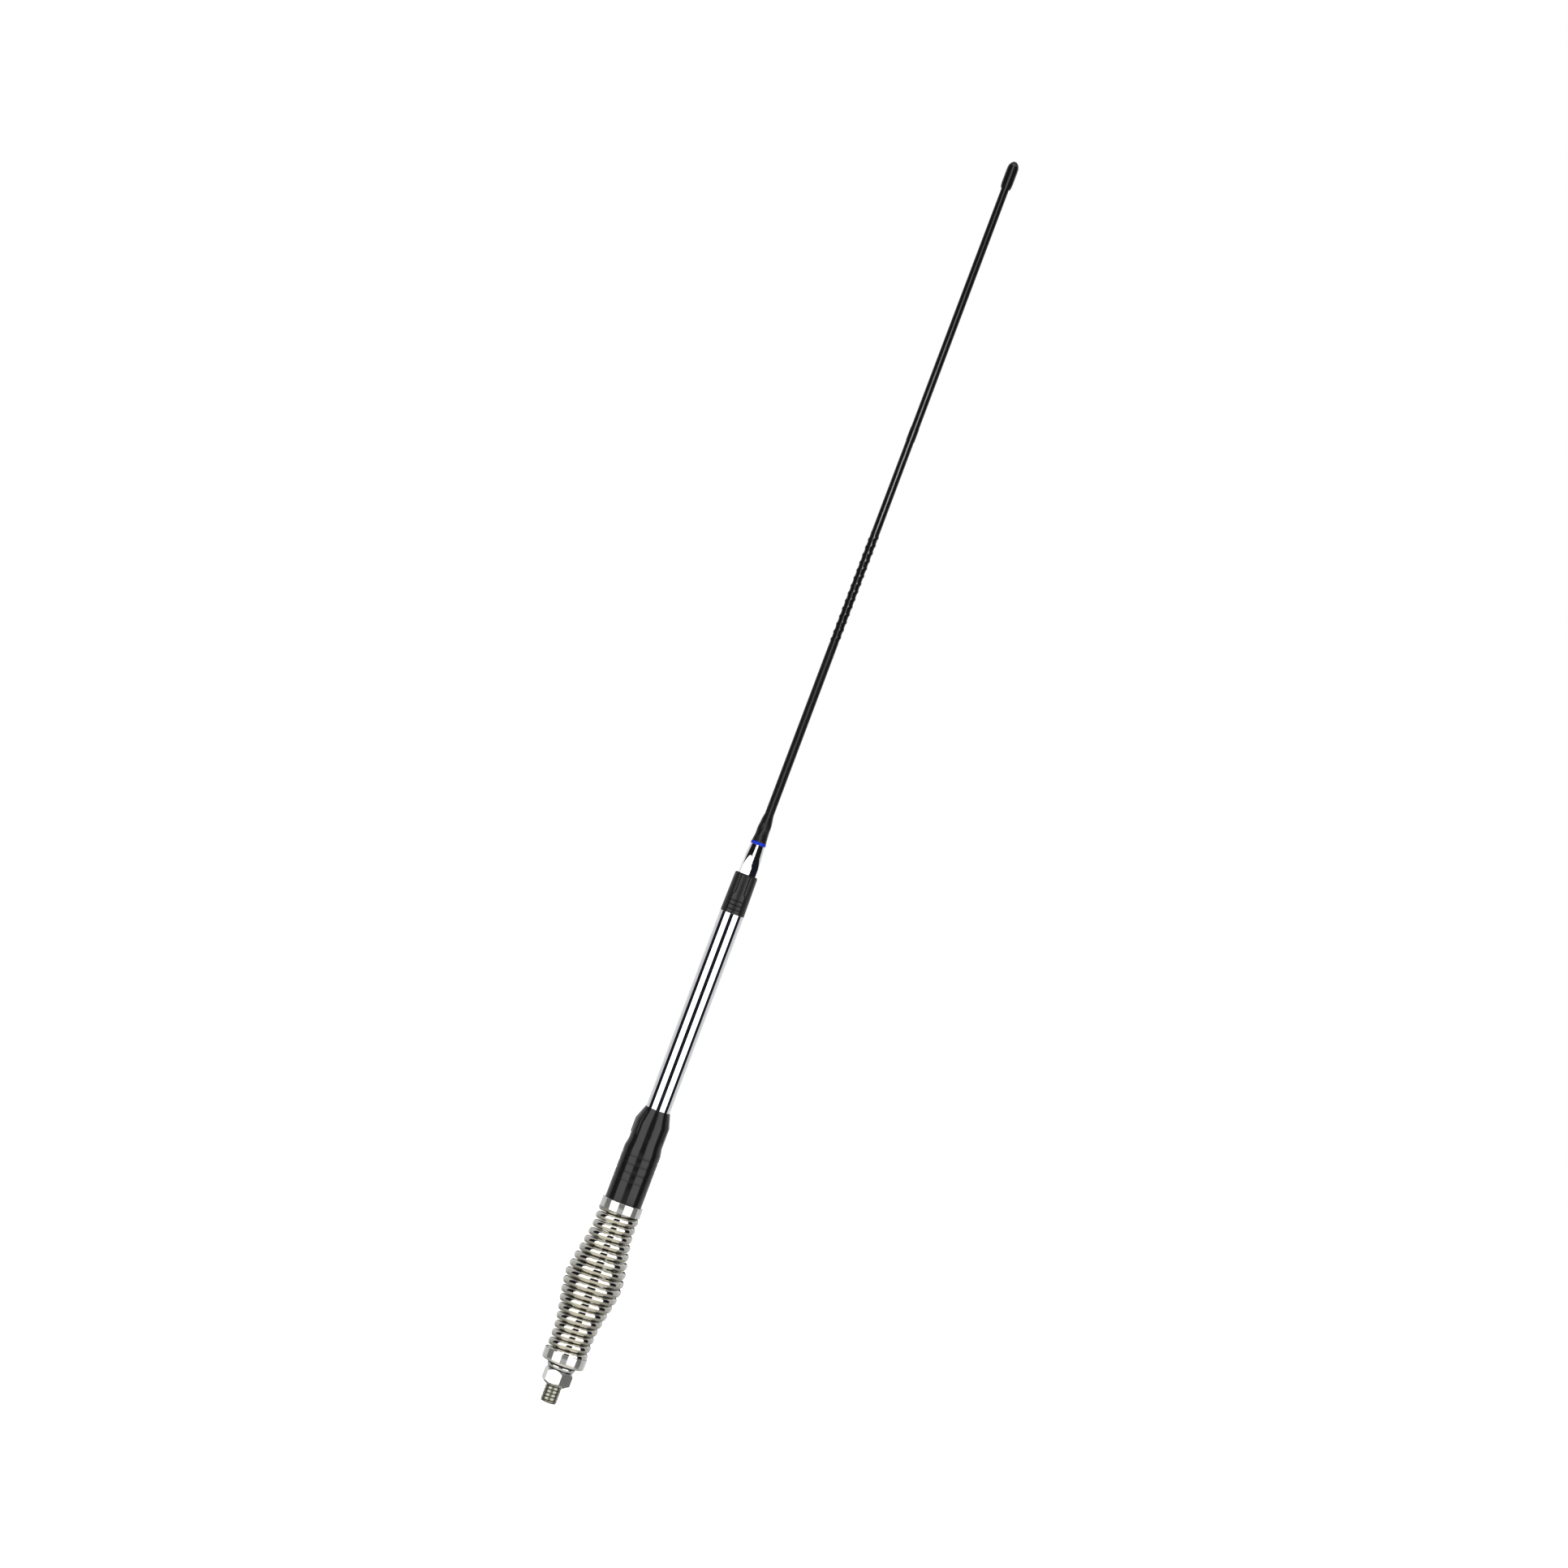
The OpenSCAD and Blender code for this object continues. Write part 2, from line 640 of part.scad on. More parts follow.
module feed_collar() {
    foot_r = collar_foot_d/2;
    top_r = collar_top_d/2;
    spigot_r = tube_bore_r - fit;
    color(gloss_black) difference() {
        rotate_extrude() polygon([[0, spigot_foot_z], [spigot_r, spigot_foot_z], [spigot_r, collar_z],
            [foot_r, collar_z], [lerp(foot_r, top_r, 1 - collar_bevel/collar_h), collar_top_z - collar_bevel],
            [top_r - collar_bevel, collar_top_z], [0, collar_top_z]]);
        intersection() {
            rotate([90, 0, 0]) linear_extrude(height = 3*foot_r, center = true) panel_lines();
            translate([0, 0, collar_z]) difference() {
                translate([0, 0, -overlap]) cylinder(r = foot_r + 1, h = collar_h + 2*overlap);
                translate([0, 0, -2*overlap])
                    cylinder(r1 = foot_r - line_depth, r2 = top_r - line_depth, h = collar_h + 4*overlap);
            }
        }
        bore(whip_stud_r + fit, spigot_foot_z, collar_top_z);
        pipe((whip_seal_mid_d + whip_seal_d)/2 + fit, (whip_seal_mid_d - whip_seal_d)/2 - fit,
            collar_top_z - whip_seal_d, whip_seal_d + overlap);
    }
}

module feed_terminal() {
    color(copper) pipe(terminal_d/2, whip_stud_r + fit, terminal_z, terminal_h);
}

module terminal_nut() {
    color(brass) difference() {
        hex_bar(nut_af, nut_z, nut_h, 0);
        bore(whip_stud_r + fit, nut_z, nut_z + nut_h);
    }
}

module whip_stud() {
    bevel = 0.6;
    color(brass) difference() {
        rotate_extrude() polygon([[0, tail_z], [whip_stud_r - bevel, tail_z], [whip_stud_r, tail_z + bevel],
            [whip_stud_r, stud_top_z - bevel], [whip_stud_r - bevel, stud_top_z], [0, stud_top_z]]);
        bore(core_d/2 + fit, tail_z, tail_z + solder_depth);
    }
}

module whip_seal() {
    color(jacket_black) translate([0, 0, collar_top_z - whip_seal_d/2])
        rotate_extrude() translate([whip_seal_mid_d/2, 0]) circle(d = whip_seal_d);
}

// Hex bar turned to a cone, so that the flats end in arches
module whip_ferrule() {
    bevel = 0.4;
    color(chrome) difference() {
        intersection() {
            rotate_extrude() polygon([[0, whip_z], [whip_foot_d/2, whip_z],
                [whip_foot_d/2, whip_z + whip_foot_h], [whip_cone_d/2, ring_z - bevel],
                [whip_cone_d/2 - bevel, ring_z], [neck_d/2, ring_z],
                [neck_d/2, neck_top_z], [0, neck_top_z]]);
            hex_bar(whip_af, whip_z - overlap, whip_ferrule_h + neck_len + 2*overlap, whip_turn);
        }
        bore(whip_stud_r + fit, whip_z, stud_top_z + seat_gap - overlap);
        bore(rod_foot_d/2 + fit, stud_top_z, neck_top_z);
    }
}

module colour_ring() {
    color(ring_blue) pipe(ring_d/2, neck_d/2 + fit, ring_z + seat_gap, ring_h);
}

// Shrunk boot: it hangs loose on the ring, grips the neck in two steps and closes on the whip
module ferrule_boot() {
    foot_r = boot_foot_d/2;
    grip_r = neck_d/2 + boot_wall;
    top_r = boot_top_d/2;
    mouth_r = sleeve_foot_d/2 + fit;
    top = boot_z + boot_h;
    // Share of the boot's height, then the radius there
    profile = [[0, foot_r], [0.11, lerp(foot_r, grip_r, 0.1)], [0.25, lerp(foot_r, grip_r, 0.5)],
        [0.36, lerp(foot_r, grip_r, 0.7)], [0.49, grip_r], [0.6, grip_r],
        [0.74, lerp(grip_r, top_r, 0.35)], [0.91, top_r], [1, lerp(mouth_r, top_r, 0.5)]];
    color(jacket_black) difference() {
        rotate_extrude() polygon(concat([[0, boot_z]],
            [for (point = profile) [point[1], boot_z + point[0]*boot_h]], [[0, top]]));
        bore(neck_d/2 + fit, boot_z, neck_top_z + seat_gap - overlap);
        bore(mouth_r, boot_z, top);
    }
}

module whip_rod() {
    color(rod_cream) difference() {
        rotate_extrude() polygon([[0, rod_z], [rod_foot_d/2, rod_z], [coil_seat_d/2, coil_seat_z],
            [coil_seat_d/2, coil_seat_top_z], [rod_tip_d/2, rod_top_z], [0, rod_top_z]]);
        bore(radiator_bore_r, rod_z, coil_z);
        bore(radiator_bore_r, coil_top_z, rod_top_z - radiator_short);
        coil_leg(phasing_wire_d/2 + fit, rod_foot_d);
    }
}

// A straight round leg from the rod's axis to each end of the phasing coil
module coil_leg(r, length) {
    for (t = [0, 1]) translate([0, 0, coil_z + t*phasing_len]) rotate([0, 90, 360*phasing_turns*t])
        cylinder(r = r, h = length);
}

// Copper wire inside the rod, brought out to each end of the phasing coil
module radiator_wire() {
    color(copper) {
        translate([0, 0, rod_z]) cylinder(r = radiator_r, h = coil_z - rod_z + radiator_r);
        translate([0, 0, coil_top_z - radiator_r])
            cylinder(r = radiator_r, h = rod_top_z - radiator_short - coil_top_z + radiator_r);
        coil_leg(phasing_wire_d/2, phasing_r - phasing_wire_d/2 - 2*fit);
    }
}

module phasing_coil() {
    sides = 6;
    rings = ceil(phasing_turns*winding_steps) + 1;
    points = [for (i = [0:rings - 1]) let (t = i/(rings - 1))
        each wire_ring(90 + 360*phasing_turns*t, phasing_r, coil_z + phasing_len*t, phasing_wire_d/2, sides,
            coil_z - phasing_wire_d, coil_top_z + phasing_wire_d)];
    color(copper) polyhedron(points, tube_faces(rings, sides));
}

// A sleeve shrunk on the rod, with a tapered bore
module rod_sleeve(foot_d, top_d, from, to) {
    difference() {
        translate([0, 0, from]) cylinder(r1 = foot_d/2, r2 = top_d/2, h = to - from);
        translate([0, 0, from - overlap]) cylinder(r1 = rod_r(from) + fit, r2 = rod_r(to) + fit,
            h = to - from + 2*overlap);
    }
}

module lower_sleeve() {
    color(jacket_black)
        rod_sleeve(sleeve_foot_d, sleeve_top_d, sleeve_z, coil_z - jacket_over - seat_gap);
}

// How far the jacket is lifted by the blob of solder at the coil's foot, on the left
function blob_lift(a, z) = solder_bump*pow(max(0, -cos(a)), 2)
    *pow(cos(90*min(1, abs(2*(z - jacket_over)/solder_len - 1))), 2);

// Jacket with one low ridge that follows the wire of the phasing coil
module coil_jacket() {
    sides = 14;
    steps = 8;
    foot_z = coil_z - jacket_over;
    height = phasing_len + 2*jacket_over;
    rings = ceil(height/phasing_pitch*steps) + 1;
    walls = rings*sides;
    inner_r = jacket_bore_r/cos(180/sides);
    outer = [for (i = [0:rings - 1], j = [0:sides - 1])
        let (z = height*i/(rings - 1), a = 360*j/sides, crest = 360*(z - jacket_over)/phasing_pitch,
             ridge = jacket_ridge*pow(max(0, cos(a - crest)), 3),
             r = inner_r + jacket_wall + max(ridge, blob_lift(a, z)))
        [r*cos(a), r*sin(a), foot_z + z]];
    inner = [for (i = [0, 1], j = [0:sides - 1]) let (a = 360*j/sides)
        [inner_r*cos(a), inner_r*sin(a), foot_z + i*height]];
    wall_faces = [for (i = [0:rings - 2], j = [0:sides - 1])
        let (k = (j + 1)%sides, low = i*sides, high = low + sides)
        each [[low + j, high + j, high + k], [low + j, high + k, low + k]]];
    end_faces = [for (j = [0:sides - 1])
        let (k = (j + 1)%sides, low = walls, high = walls + sides, top = walls - sides)
        each [[j, k, low + k], [j, low + k, low + j],
            [top + k, top + j, high + j], [top + k, high + j, high + k],
            [low + j, high + k, high + j], [low + j, low + k, high + k]]];
    color(jacket_black) polyhedron(concat(outer, inner), concat(wall_faces, end_faces));
}

module middle_sleeve() {
    color(jacket_black) rod_sleeve(middle_foot_d, middle_top_d,
        coil_top_z + jacket_over + seat_gap, cuff_top_z);
}

module upper_sleeve() {
    cuff_r = cuff_d/2;
    cuff_edge = 0.1;
    cuff_slope = 2;
    color(jacket_black) difference() {
        rotate_extrude() polygon([[0, cuff_z], [cuff_r - cuff_edge, cuff_z],
            [cuff_r, cuff_z + cuff_edge], [cuff_r, cuff_top_z],
            [upper_sleeve_d/2, cuff_top_z + cuff_slope], [upper_tip_d/2, rod_top_z], [0, rod_top_z]]);
        bore(middle_foot_d/2, cuff_z, cuff_top_z + seat_gap - overlap);
        translate([0, 0, cuff_z]) cylinder(r1 = rod_r(cuff_z) + fit, r2 = rod_r(rod_top_z) + fit,
            h = rod_top_z - cuff_z + overlap);
    }
}

module tip_cap() {
    dome_z = cap_z + cap_len - cap_dome;
    dome_steps = 8;
    cap_r = cap_d/2;
    mouth_r = upper_tip_d/2 + 2*fit;
    color(jacket_black) difference() {
        rotate_extrude() polygon(concat([[0, cap_z], [lerp(mouth_r, cap_r, 0.4), cap_z],
            [lerp(mouth_r, cap_r, 0.8), cap_z + 0.25*cap_dome], [cap_r, cap_z + 0.6*cap_dome]],
            [for (i = [0:dome_steps]) let (a = 90*i/dome_steps) [cap_r*cos(a), dome_z + cap_dome*sin(a)]]));
        bore(mouth_r, cap_z, rod_top_z - overlap + seat_gap);
    }
}

mounting_stud();
socket_insulator();
socket_contact();
cable_lower();
lower_ferrule();
barrel_spring();
cable_spring();
upper_ferrule();
base_insert();
base_moulding();
tube_seal();
mast_tube();
cable_upper();
cable_spacers();
earth_plug();
feed_collar();
feed_terminal();
terminal_nut();
whip_stud();
whip_seal();
whip_ferrule();
colour_ring();
ferrule_boot();
whip_rod();
radiator_wire();
phasing_coil();
lower_sleeve();
coil_jacket();
middle_sleeve();
upper_sleeve();
tip_cap();
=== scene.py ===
"""Looks of the mobile radio antenna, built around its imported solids. Sizes are in millimetres unless a name says metres."""

import json
import math

import bmesh
import bpy
from mathutils import Matrix, Vector


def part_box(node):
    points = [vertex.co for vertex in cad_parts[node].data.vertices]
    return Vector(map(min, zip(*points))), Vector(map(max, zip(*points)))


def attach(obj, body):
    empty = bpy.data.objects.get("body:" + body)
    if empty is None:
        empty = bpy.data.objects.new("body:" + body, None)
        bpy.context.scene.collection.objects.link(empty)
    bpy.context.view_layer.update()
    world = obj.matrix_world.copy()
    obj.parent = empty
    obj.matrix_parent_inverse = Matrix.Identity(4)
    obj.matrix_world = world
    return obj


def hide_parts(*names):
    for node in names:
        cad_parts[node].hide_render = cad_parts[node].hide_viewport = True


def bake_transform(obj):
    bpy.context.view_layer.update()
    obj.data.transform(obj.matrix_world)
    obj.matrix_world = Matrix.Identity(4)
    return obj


MM = 0.001
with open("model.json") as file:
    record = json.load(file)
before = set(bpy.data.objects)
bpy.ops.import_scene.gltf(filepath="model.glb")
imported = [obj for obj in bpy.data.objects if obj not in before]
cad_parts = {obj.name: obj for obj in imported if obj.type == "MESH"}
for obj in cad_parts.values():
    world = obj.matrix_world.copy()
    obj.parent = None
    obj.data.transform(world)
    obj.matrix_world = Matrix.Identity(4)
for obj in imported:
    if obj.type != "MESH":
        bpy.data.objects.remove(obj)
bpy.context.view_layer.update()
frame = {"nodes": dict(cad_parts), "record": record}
nodes = frame["nodes"]
body_of_node = {node: body for body, members in frame["record"]["behaviour"]["bodies"].items() for node in members}


def box(node):
    """Lowest and highest corner of a node, in millimetres."""
    low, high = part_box(node)
    return low / MM, high / MM


# Heights and radii that several pieces share, taken from the frame
SEAT_GAP = 0.05
FIT = 0.05
STUD_FOOT = box("mounting_stud")[0].z
SPRING_LOW = box("barrel_spring")[0].z
SPRING_HIGH = box("barrel_spring")[1].z
GRIP_Z = box("base_moulding")[0].z
GRIP_TOP = box("base_moulding")[1].z
COLLAR_Z = box("mast_tube")[1].z + SEAT_GAP
COLLAR_TOP = box("feed_collar")[1].z
WHIP_Z = box("whip_ferrule")[0].z
RING_Z = box("colour_ring")[0].z
TIP = box("tip_cap")[1].z
CABLE_R = box("cable_spring")[1].x
TUBE_R = box("mast_tube")[1].x


# Node trees

class Value:
    """An output socket that Python's operators work on. Each operation adds its Math node."""

    def __init__(self, tree, socket):
        self.tree = tree
        self.socket = socket

    def math(self, operation, *others):
        return self.tree.math(operation, self, *others)

    def __add__(self, other):
        return self.math("ADD", other)

    def __sub__(self, other):
        return self.math("SUBTRACT", other)

    def __mul__(self, other):
        return self.math("MULTIPLY", other)

    def __truediv__(self, other):
        return self.math("DIVIDE", other)

    def __pow__(self, other):
        return self.math("POWER", other)

    def __neg__(self):
        return self.math("MULTIPLY", -1.0)

    def __rsub__(self, other):
        return self.tree.math("SUBTRACT", other, self)

    def __rtruediv__(self, other):
        return self.tree.math("DIVIDE", other, self)

    __radd__ = __add__
    __rmul__ = __mul__

    def smooth(self, low, high):
        """0 below low, 1 above high, with a soft step between them."""
        return self.tree.add("ShaderNodeMapRange", {"Value": self, "From Min": low, "From Max": high},
                             interpolation_type="SMOOTHSTEP")

    def between(self, low, high, soft):
        """1 from low to high, with soft edges."""
        return self.smooth(low - soft, low + soft) * (1 - self.smooth(high - soft, high + soft))


class Tree:
    """A node tree that is filled by Python expressions."""

    def __init__(self, tree):
        self.tree = tree

    def plug(self, value, socket):
        if isinstance(value, Value):
            self.tree.links.new(value.socket, socket)
        else:
            socket.default_value = value

    def add(self, kind, inputs=None, out=0, **settings):
        """A node of that kind: its settings first, then what its sockets hold. Returns one of its outputs."""
        node = self.tree.nodes.new(kind)
        for name, setting in settings.items():
            setattr(node, name, setting)
        for name, value in (inputs or {}).items():
            self.plug(value, node.inputs[name])
        return Value(self, node.outputs[out]) if node.outputs else node

    def math(self, operation, *values):
        return self.add("ShaderNodeMath", dict(enumerate(values)), operation=operation)

    def vector(self, x, y, z):
        return self.add("ShaderNodeCombineXYZ", {0: x, 1: y, 2: z})

    def parts(self, vector):
        split = self.tree.nodes.new("ShaderNodeSeparateXYZ")
        self.plug(vector, split.inputs[0])
        return [Value(self, output) for output in split.outputs]

    def mix(self, share, first, second):
        """A colour between two, by share."""
        return self.add("ShaderNodeMix", {0: share, 6: first, 7: second}, out=2, data_type="RGBA")

    def noise(self, vector, scale, detail=2.0):
        return self.add("ShaderNodeTexNoise", {"Vector": vector, "Scale": scale, "Detail": detail})

    def bump(self, height, distance, strength=1.0):
        return self.add("ShaderNodeBump", {"Height": height, "Distance": distance, "Strength": strength})


class Spot:
    """Where a shaded point lies: x, y, z, the distance from the antenna's axis and the angle from the front."""

    def __init__(self, tree):
        place = tree.add("ShaderNodeTexCoord", out="Object")
        x, y, z = tree.parts(place)
        self.x = x / MM
        self.y = y / MM
        self.z = z / MM
        self.angle = tree.math("ARCTAN2", self.x, -self.y)
        self.radius = (self.x * self.x + self.y * self.y).math("SQRT")
        self.place = tree.vector(self.x, self.y, self.z)


def material(name, finish):
    """A material whose finish is a function that gives what the Principled shader's sockets hold."""
    made = bpy.data.materials.new(name)
    made.use_nodes = True
    made.node_tree.nodes.clear()
    tree = Tree(made.node_tree)
    shader = tree.add("ShaderNodeBsdfPrincipled", finish(tree, Spot(tree)))
    tree.add("ShaderNodeOutputMaterial", {"Surface": shader})
    return made


# Finishes

def polished_chrome(tree, spot):
    """Mirror chrome on drawn tube: faint marks along it and a trace of haze."""
    drawn = tree.noise(tree.vector(spot.x * 3.0, spot.y * 3.0, spot.z * 0.02), 1.0)
    haze = tree.noise(spot.place, 0.05)
    return {"Base Color": (0.86, 0.87, 0.89, 1.0), "Metallic": 1.0,
            "Roughness": 0.02 + haze.smooth(0.35, 0.75) * 0.03 + drawn * 0.01,
            "Normal": tree.bump(drawn, 0.0000006)}


def satin_nickel(tree, spot):
    """Plated turned steel, less bright than chrome, with fine turning rings, and painted shade under the lower ferrule
    and in the notch between hex and bead.
    """
    rings = tree.noise(tree.vector(0.0, 0.0, spot.z), 9.0, 3.0)
    cloud = tree.noise(spot.place, 0.25)
    bright = tree.mix(cloud.smooth(0.3, 0.7), (0.60, 0.61, 0.60, 1.0), (0.57, 0.57, 0.53, 1.0))
    # Painted shade: a dark blue-grey where the lower ferrule overhangs the bead, and in the notch between hex and bead
    painted_shade_under_ferrule = spot.z.between(15.9, 17.8, 0.35) * (1 - spot.radius.smooth(15.4, 16.8))
    painted_shade_hex_notch = spot.z.between(12.5, 13.5, 0.15) * (1 - spot.radius.smooth(10.2, 10.9))
    return {"Base Color": tree.mix((painted_shade_under_ferrule + painted_shade_hex_notch).math("MINIMUM", 1.0), bright, (0.05, 0.05, 0.09, 1.0)),
            "Metallic": 0.80, "Roughness": 0.07 + rings * 0.04,
            "Normal": tree.bump(rings, 0.000002)}


def thread_nickel(tree, spot):
    """Plated thread, creamy on its crests, with painted shade darkening its roots."""
    cloud = tree.noise(spot.place, 1.2, 4.0)
    # Painted shade: the colour darkens from the crests down into the thread's roots
    root_shade_mask = spot.radius.smooth(THREAD_ROOT_R, THREAD_R)
    return {"Base Color": tree.mix(root_shade_mask, (0.10, 0.10, 0.08, 1.0), (0.27, 0.27, 0.22, 1.0)),
            "Metallic": 0.85, "Roughness": 0.12 + cloud * 0.1,
            "Normal": tree.bump(cloud, 0.000006)}


def spring_nickel(tree, spot):
    """Bright nickel over drawn wire, warm, with faint drawing marks."""
    marks = tree.noise(tree.vector(spot.angle * 2.0, spot.radius * 3.0, spot.z * 3.0), 1.6, 3.0)
    cloud = tree.noise(spot.place, 0.12)
    return {"Base Color": tree.mix(cloud.smooth(0.3, 0.7), (0.60, 0.59, 0.55, 1.0), (0.56, 0.55, 0.50, 1.0)),
            "Metallic": 1.0, "Roughness": 0.05 + marks * 0.04,
            "Normal": tree.bump(marks, 0.000004)}


def gloss_moulding(tree, spot):
    """Glossy black moulding with a faint orange peel."""
    peel = tree.noise(spot.place, 0.9)
    cloud = tree.noise(spot.place, 0.15, 3.0)
    return {"Base Color": tree.mix(cloud, (0.005, 0.005, 0.0055, 1.0), (0.007, 0.007, 0.0075, 1.0)),
            "Roughness": 0.12 + cloud * 0.05, "Specular IOR Level": 0.34,
            "Normal": tree.bump(peel, 0.000004)}


def satin_moulding(tree, spot):
    """Satin black moulding with a fine spark-eroded grain, and painted shade in its panel-line grooves, which are also
    rougher.
    """
    grain = tree.noise(spot.place, 6.0, 3.0)
    cloud = tree.noise(spot.place, 0.3)
    wall_r = COLLAR_FOOT_R - (spot.z - COLLAR_Z) * ((COLLAR_FOOT_R - COLLAR_TOP_R) / (COLLAR_TOP - COLLAR_Z))
    # Painted shade: inside the panel-line grooves the colour turns near black, and the surface is rougher
    groove_shade_mask = (wall_r - spot.radius).between(0.15, LINE_DEPTH + 0.2, 0.08)
    plain = tree.mix(cloud, (0.0075, 0.0075, 0.0075, 1.0), (0.0105, 0.0105, 0.010, 1.0))
    return {"Base Color": tree.mix(groove_shade_mask, plain, (0.001, 0.001, 0.001, 1.0)),
            "Roughness": 0.30 + cloud * 0.05 + groove_shade_mask * 0.5, "Specular IOR Level": 0.34,
            "Normal": tree.bump(grain, 0.000012)}


def shrunk_sleeve(tree, spot):
    """Black shrunk sleeve: fine streaks along the whip and soft unevenness."""
    streak = tree.noise(tree.vector(spot.x * 4.0, spot.y * 4.0, spot.z * 0.12), 1.0, 3.0)
    wave = tree.noise(spot.place, 0.22)
    return {"Base Color": tree.mix(streak, (0.003, 0.003, 0.0035, 1.0), (0.006, 0.006, 0.0065, 1.0)),
            "Roughness": 0.30 - spot.z.smooth(605.0, 625.0) * 0.17 + wave * 0.06, "Specular IOR Level": 0.5,
            "Normal": tree.bump(streak + wave * 2.0, 0.00003)}


def blue_ring(tree, spot):
    """Bright blue plastic ring with faint moulding bands."""
    bands = tree.noise(tree.vector(0.0, 0.0, spot.z), 4.0)
    return {"Base Color": tree.mix(bands, (0.001, 0.016, 0.36, 1.0), (0.002, 0.022, 0.42, 1.0)),
            "Roughness": 0.30 + bands * 0.08, "Specular IOR Level": 0.2,
            "Normal": tree.bump(bands, 0.000006)}


def turned_brass(tree, spot):
    """Brass with turning rings."""
    rings = tree.noise(tree.vector(0.0, 0.0, spot.z), 7.0, 3.0)
    return {"Base Color": tree.mix(rings, (0.72, 0.54, 0.24, 1.0), (0.82, 0.66, 0.34, 1.0)),
            "Metallic": 1.0, "Roughness": 0.2 + rings * 0.15,
            "Normal": tree.bump(rings, 0.000006)}


def bare_copper(tree, spot):
    """Copper wire, a little browned."""
    cloud = tree.noise(spot.place, 0.8, 3.0)
    return {"Base Color": tree.mix(cloud, (0.62, 0.28, 0.15, 1.0), (0.85, 0.46, 0.28, 1.0)),
            "Metallic": 1.0, "Roughness": 0.22 + cloud * 0.15,
            "Normal": tree.bump(cloud, 0.000004)}


def white_insulator(tree, spot):
    """Waxy white polymer with faint turning rings."""
    rings = tree.noise(tree.vector(0.0, 0.0, spot.z), 5.0)
    return {"Base Color": tree.mix(rings, (0.84, 0.84, 0.80, 1.0), (0.92, 0.92, 0.89, 1.0)),
            "Roughness": 0.40 + rings * 0.1,
            "Normal": tree.bump(rings, 0.00001)}


def drawn_fibreglass(tree, spot):
    """Cream resin with glass fibres along it."""
    fibre = tree.noise(tree.vector(spot.x * 9.0, spot.y * 9.0, spot.z * 0.1), 1.0, 4.0)
    return {"Base Color": tree.mix(fibre, (0.62, 0.57, 0.38, 1.0), (0.84, 0.80, 0.62, 1.0)),
            "Roughness": 0.45 + fibre * 0.1,
            "Normal": tree.bump(fibre, 0.00002)}


# Sizes that finishes read too
COLLAR_FOOT_R = 9.65
COLLAR_TOP_R = 9.1
LINE_DEPTH = 0.45
THREAD_R = 6.35
THREAD_DEPTH = 0.65
THREAD_ROOT_R = THREAD_R - THREAD_DEPTH
THREAD_PITCH = 2.84
THREAD_STEPS = 18

MATERIALS = {
    "chrome": material("polished_chrome", polished_chrome),
    "nickel": material("satin_nickel", satin_nickel),
    "thread": material("thread_nickel", thread_nickel),
    "spring_nickel": material("spring_nickel", spring_nickel),
    "gloss_black": material("gloss_moulding", gloss_moulding),
    "satin_black": material("satin_moulding", satin_moulding),
    "jacket_black": material("shrunk_sleeve", shrunk_sleeve),
    "ring_blue": material("blue_ring", blue_ring),
    "brass": material("turned_brass", turned_brass),
    "copper": material("bare_copper", bare_copper),
    "insulator_white": material("white_insulator", white_insulator),
    "rod_cream": material("drawn_fibreglass", drawn_fibreglass),
}


# Mesh tools

SEGMENTS = 160
ROUND_STEPS = 4
SHARP = 24.0


def softened(points):
    """A closed outline of (radius, height, rounding) points with its corners rounded."""
    outline = []
    for i, (r, z, size) in enumerate(points):
        here = Vector((r, z))
        if not size:
            outline.append(here)
            continue
        before = Vector(points[i - 1][:2]) - here
        after = Vector(points[(i + 1) % len(points)][:2]) - here
        start = here + before.normalized() * min(size, before.length * 0.49)
        end = here + after.normalized() * min(size, after.length * 0.49)
        for step in range(ROUND_STEPS + 1):
            t = step / ROUND_STEPS
            outline.append(start.lerp(here, t).lerp(here.lerp(end, t), t))
    return outline


def linked(name, mesh):
    piece = bpy.data.objects.new(name, mesh)
    bpy.context.scene.collection.objects.link(piece)
    return piece


def shaded(piece, sharp=SHARP):
    """Smooth faces, with edges kept sharp where faces meet at more than that angle."""
    work = bmesh.new()
    work.from_mesh(piece.data)
    for face in work.faces:
        face.smooth = True
    for edge in work.edges:
        edge.smooth = len(edge.link_faces) == 2 and edge.calc_face_angle() < math.radians(sharp)
    work.to_mesh(piece.data)
    work.free()
    return piece


def painted(piece, finish):
    piece.data.materials.clear()
    piece.data.materials.append(MATERIALS[finish])
    return piece


def lathe(name, points, segments=SEGMENTS, spread=None):
    """A closed outline turned round the antenna's axis. spread gives each point's radius from its angle and place."""
    work = bmesh.new()
    rings = []
    for point in points:
        r, z = point[0], point[1]
        if r <= 0:
            rings.append([work.verts.new((0, 0, z * MM))])
            continue
        ring = []
        for i in range(segments):
            angle = 2 * math.pi * i / segments
            reach = spread(angle, r, z) if spread else r
            ring.append(work.verts.new((reach * math.sin(angle) * MM, -reach * math.cos(angle) * MM, z * MM)))
        rings.append(ring)
    for i, ring in enumerate(rings):
        after = rings[(i + 1) % len(rings)]
        if len(ring) == 1 and len(after) == 1:
            continue
        for j in range(segments):
            k = (j + 1) % segments
            corners = [ring[j % len(ring)], ring[k % len(ring)], after[k % len(after)], after[j % len(after)]]
            work.faces.new(list(dict.fromkeys(corners)))
    bmesh.ops.recalc_face_normals(work, faces=work.faces)
    mesh = bpy.data.meshes.new(name)
    work.to_mesh(mesh)
    work.free()
    return linked(name, mesh)


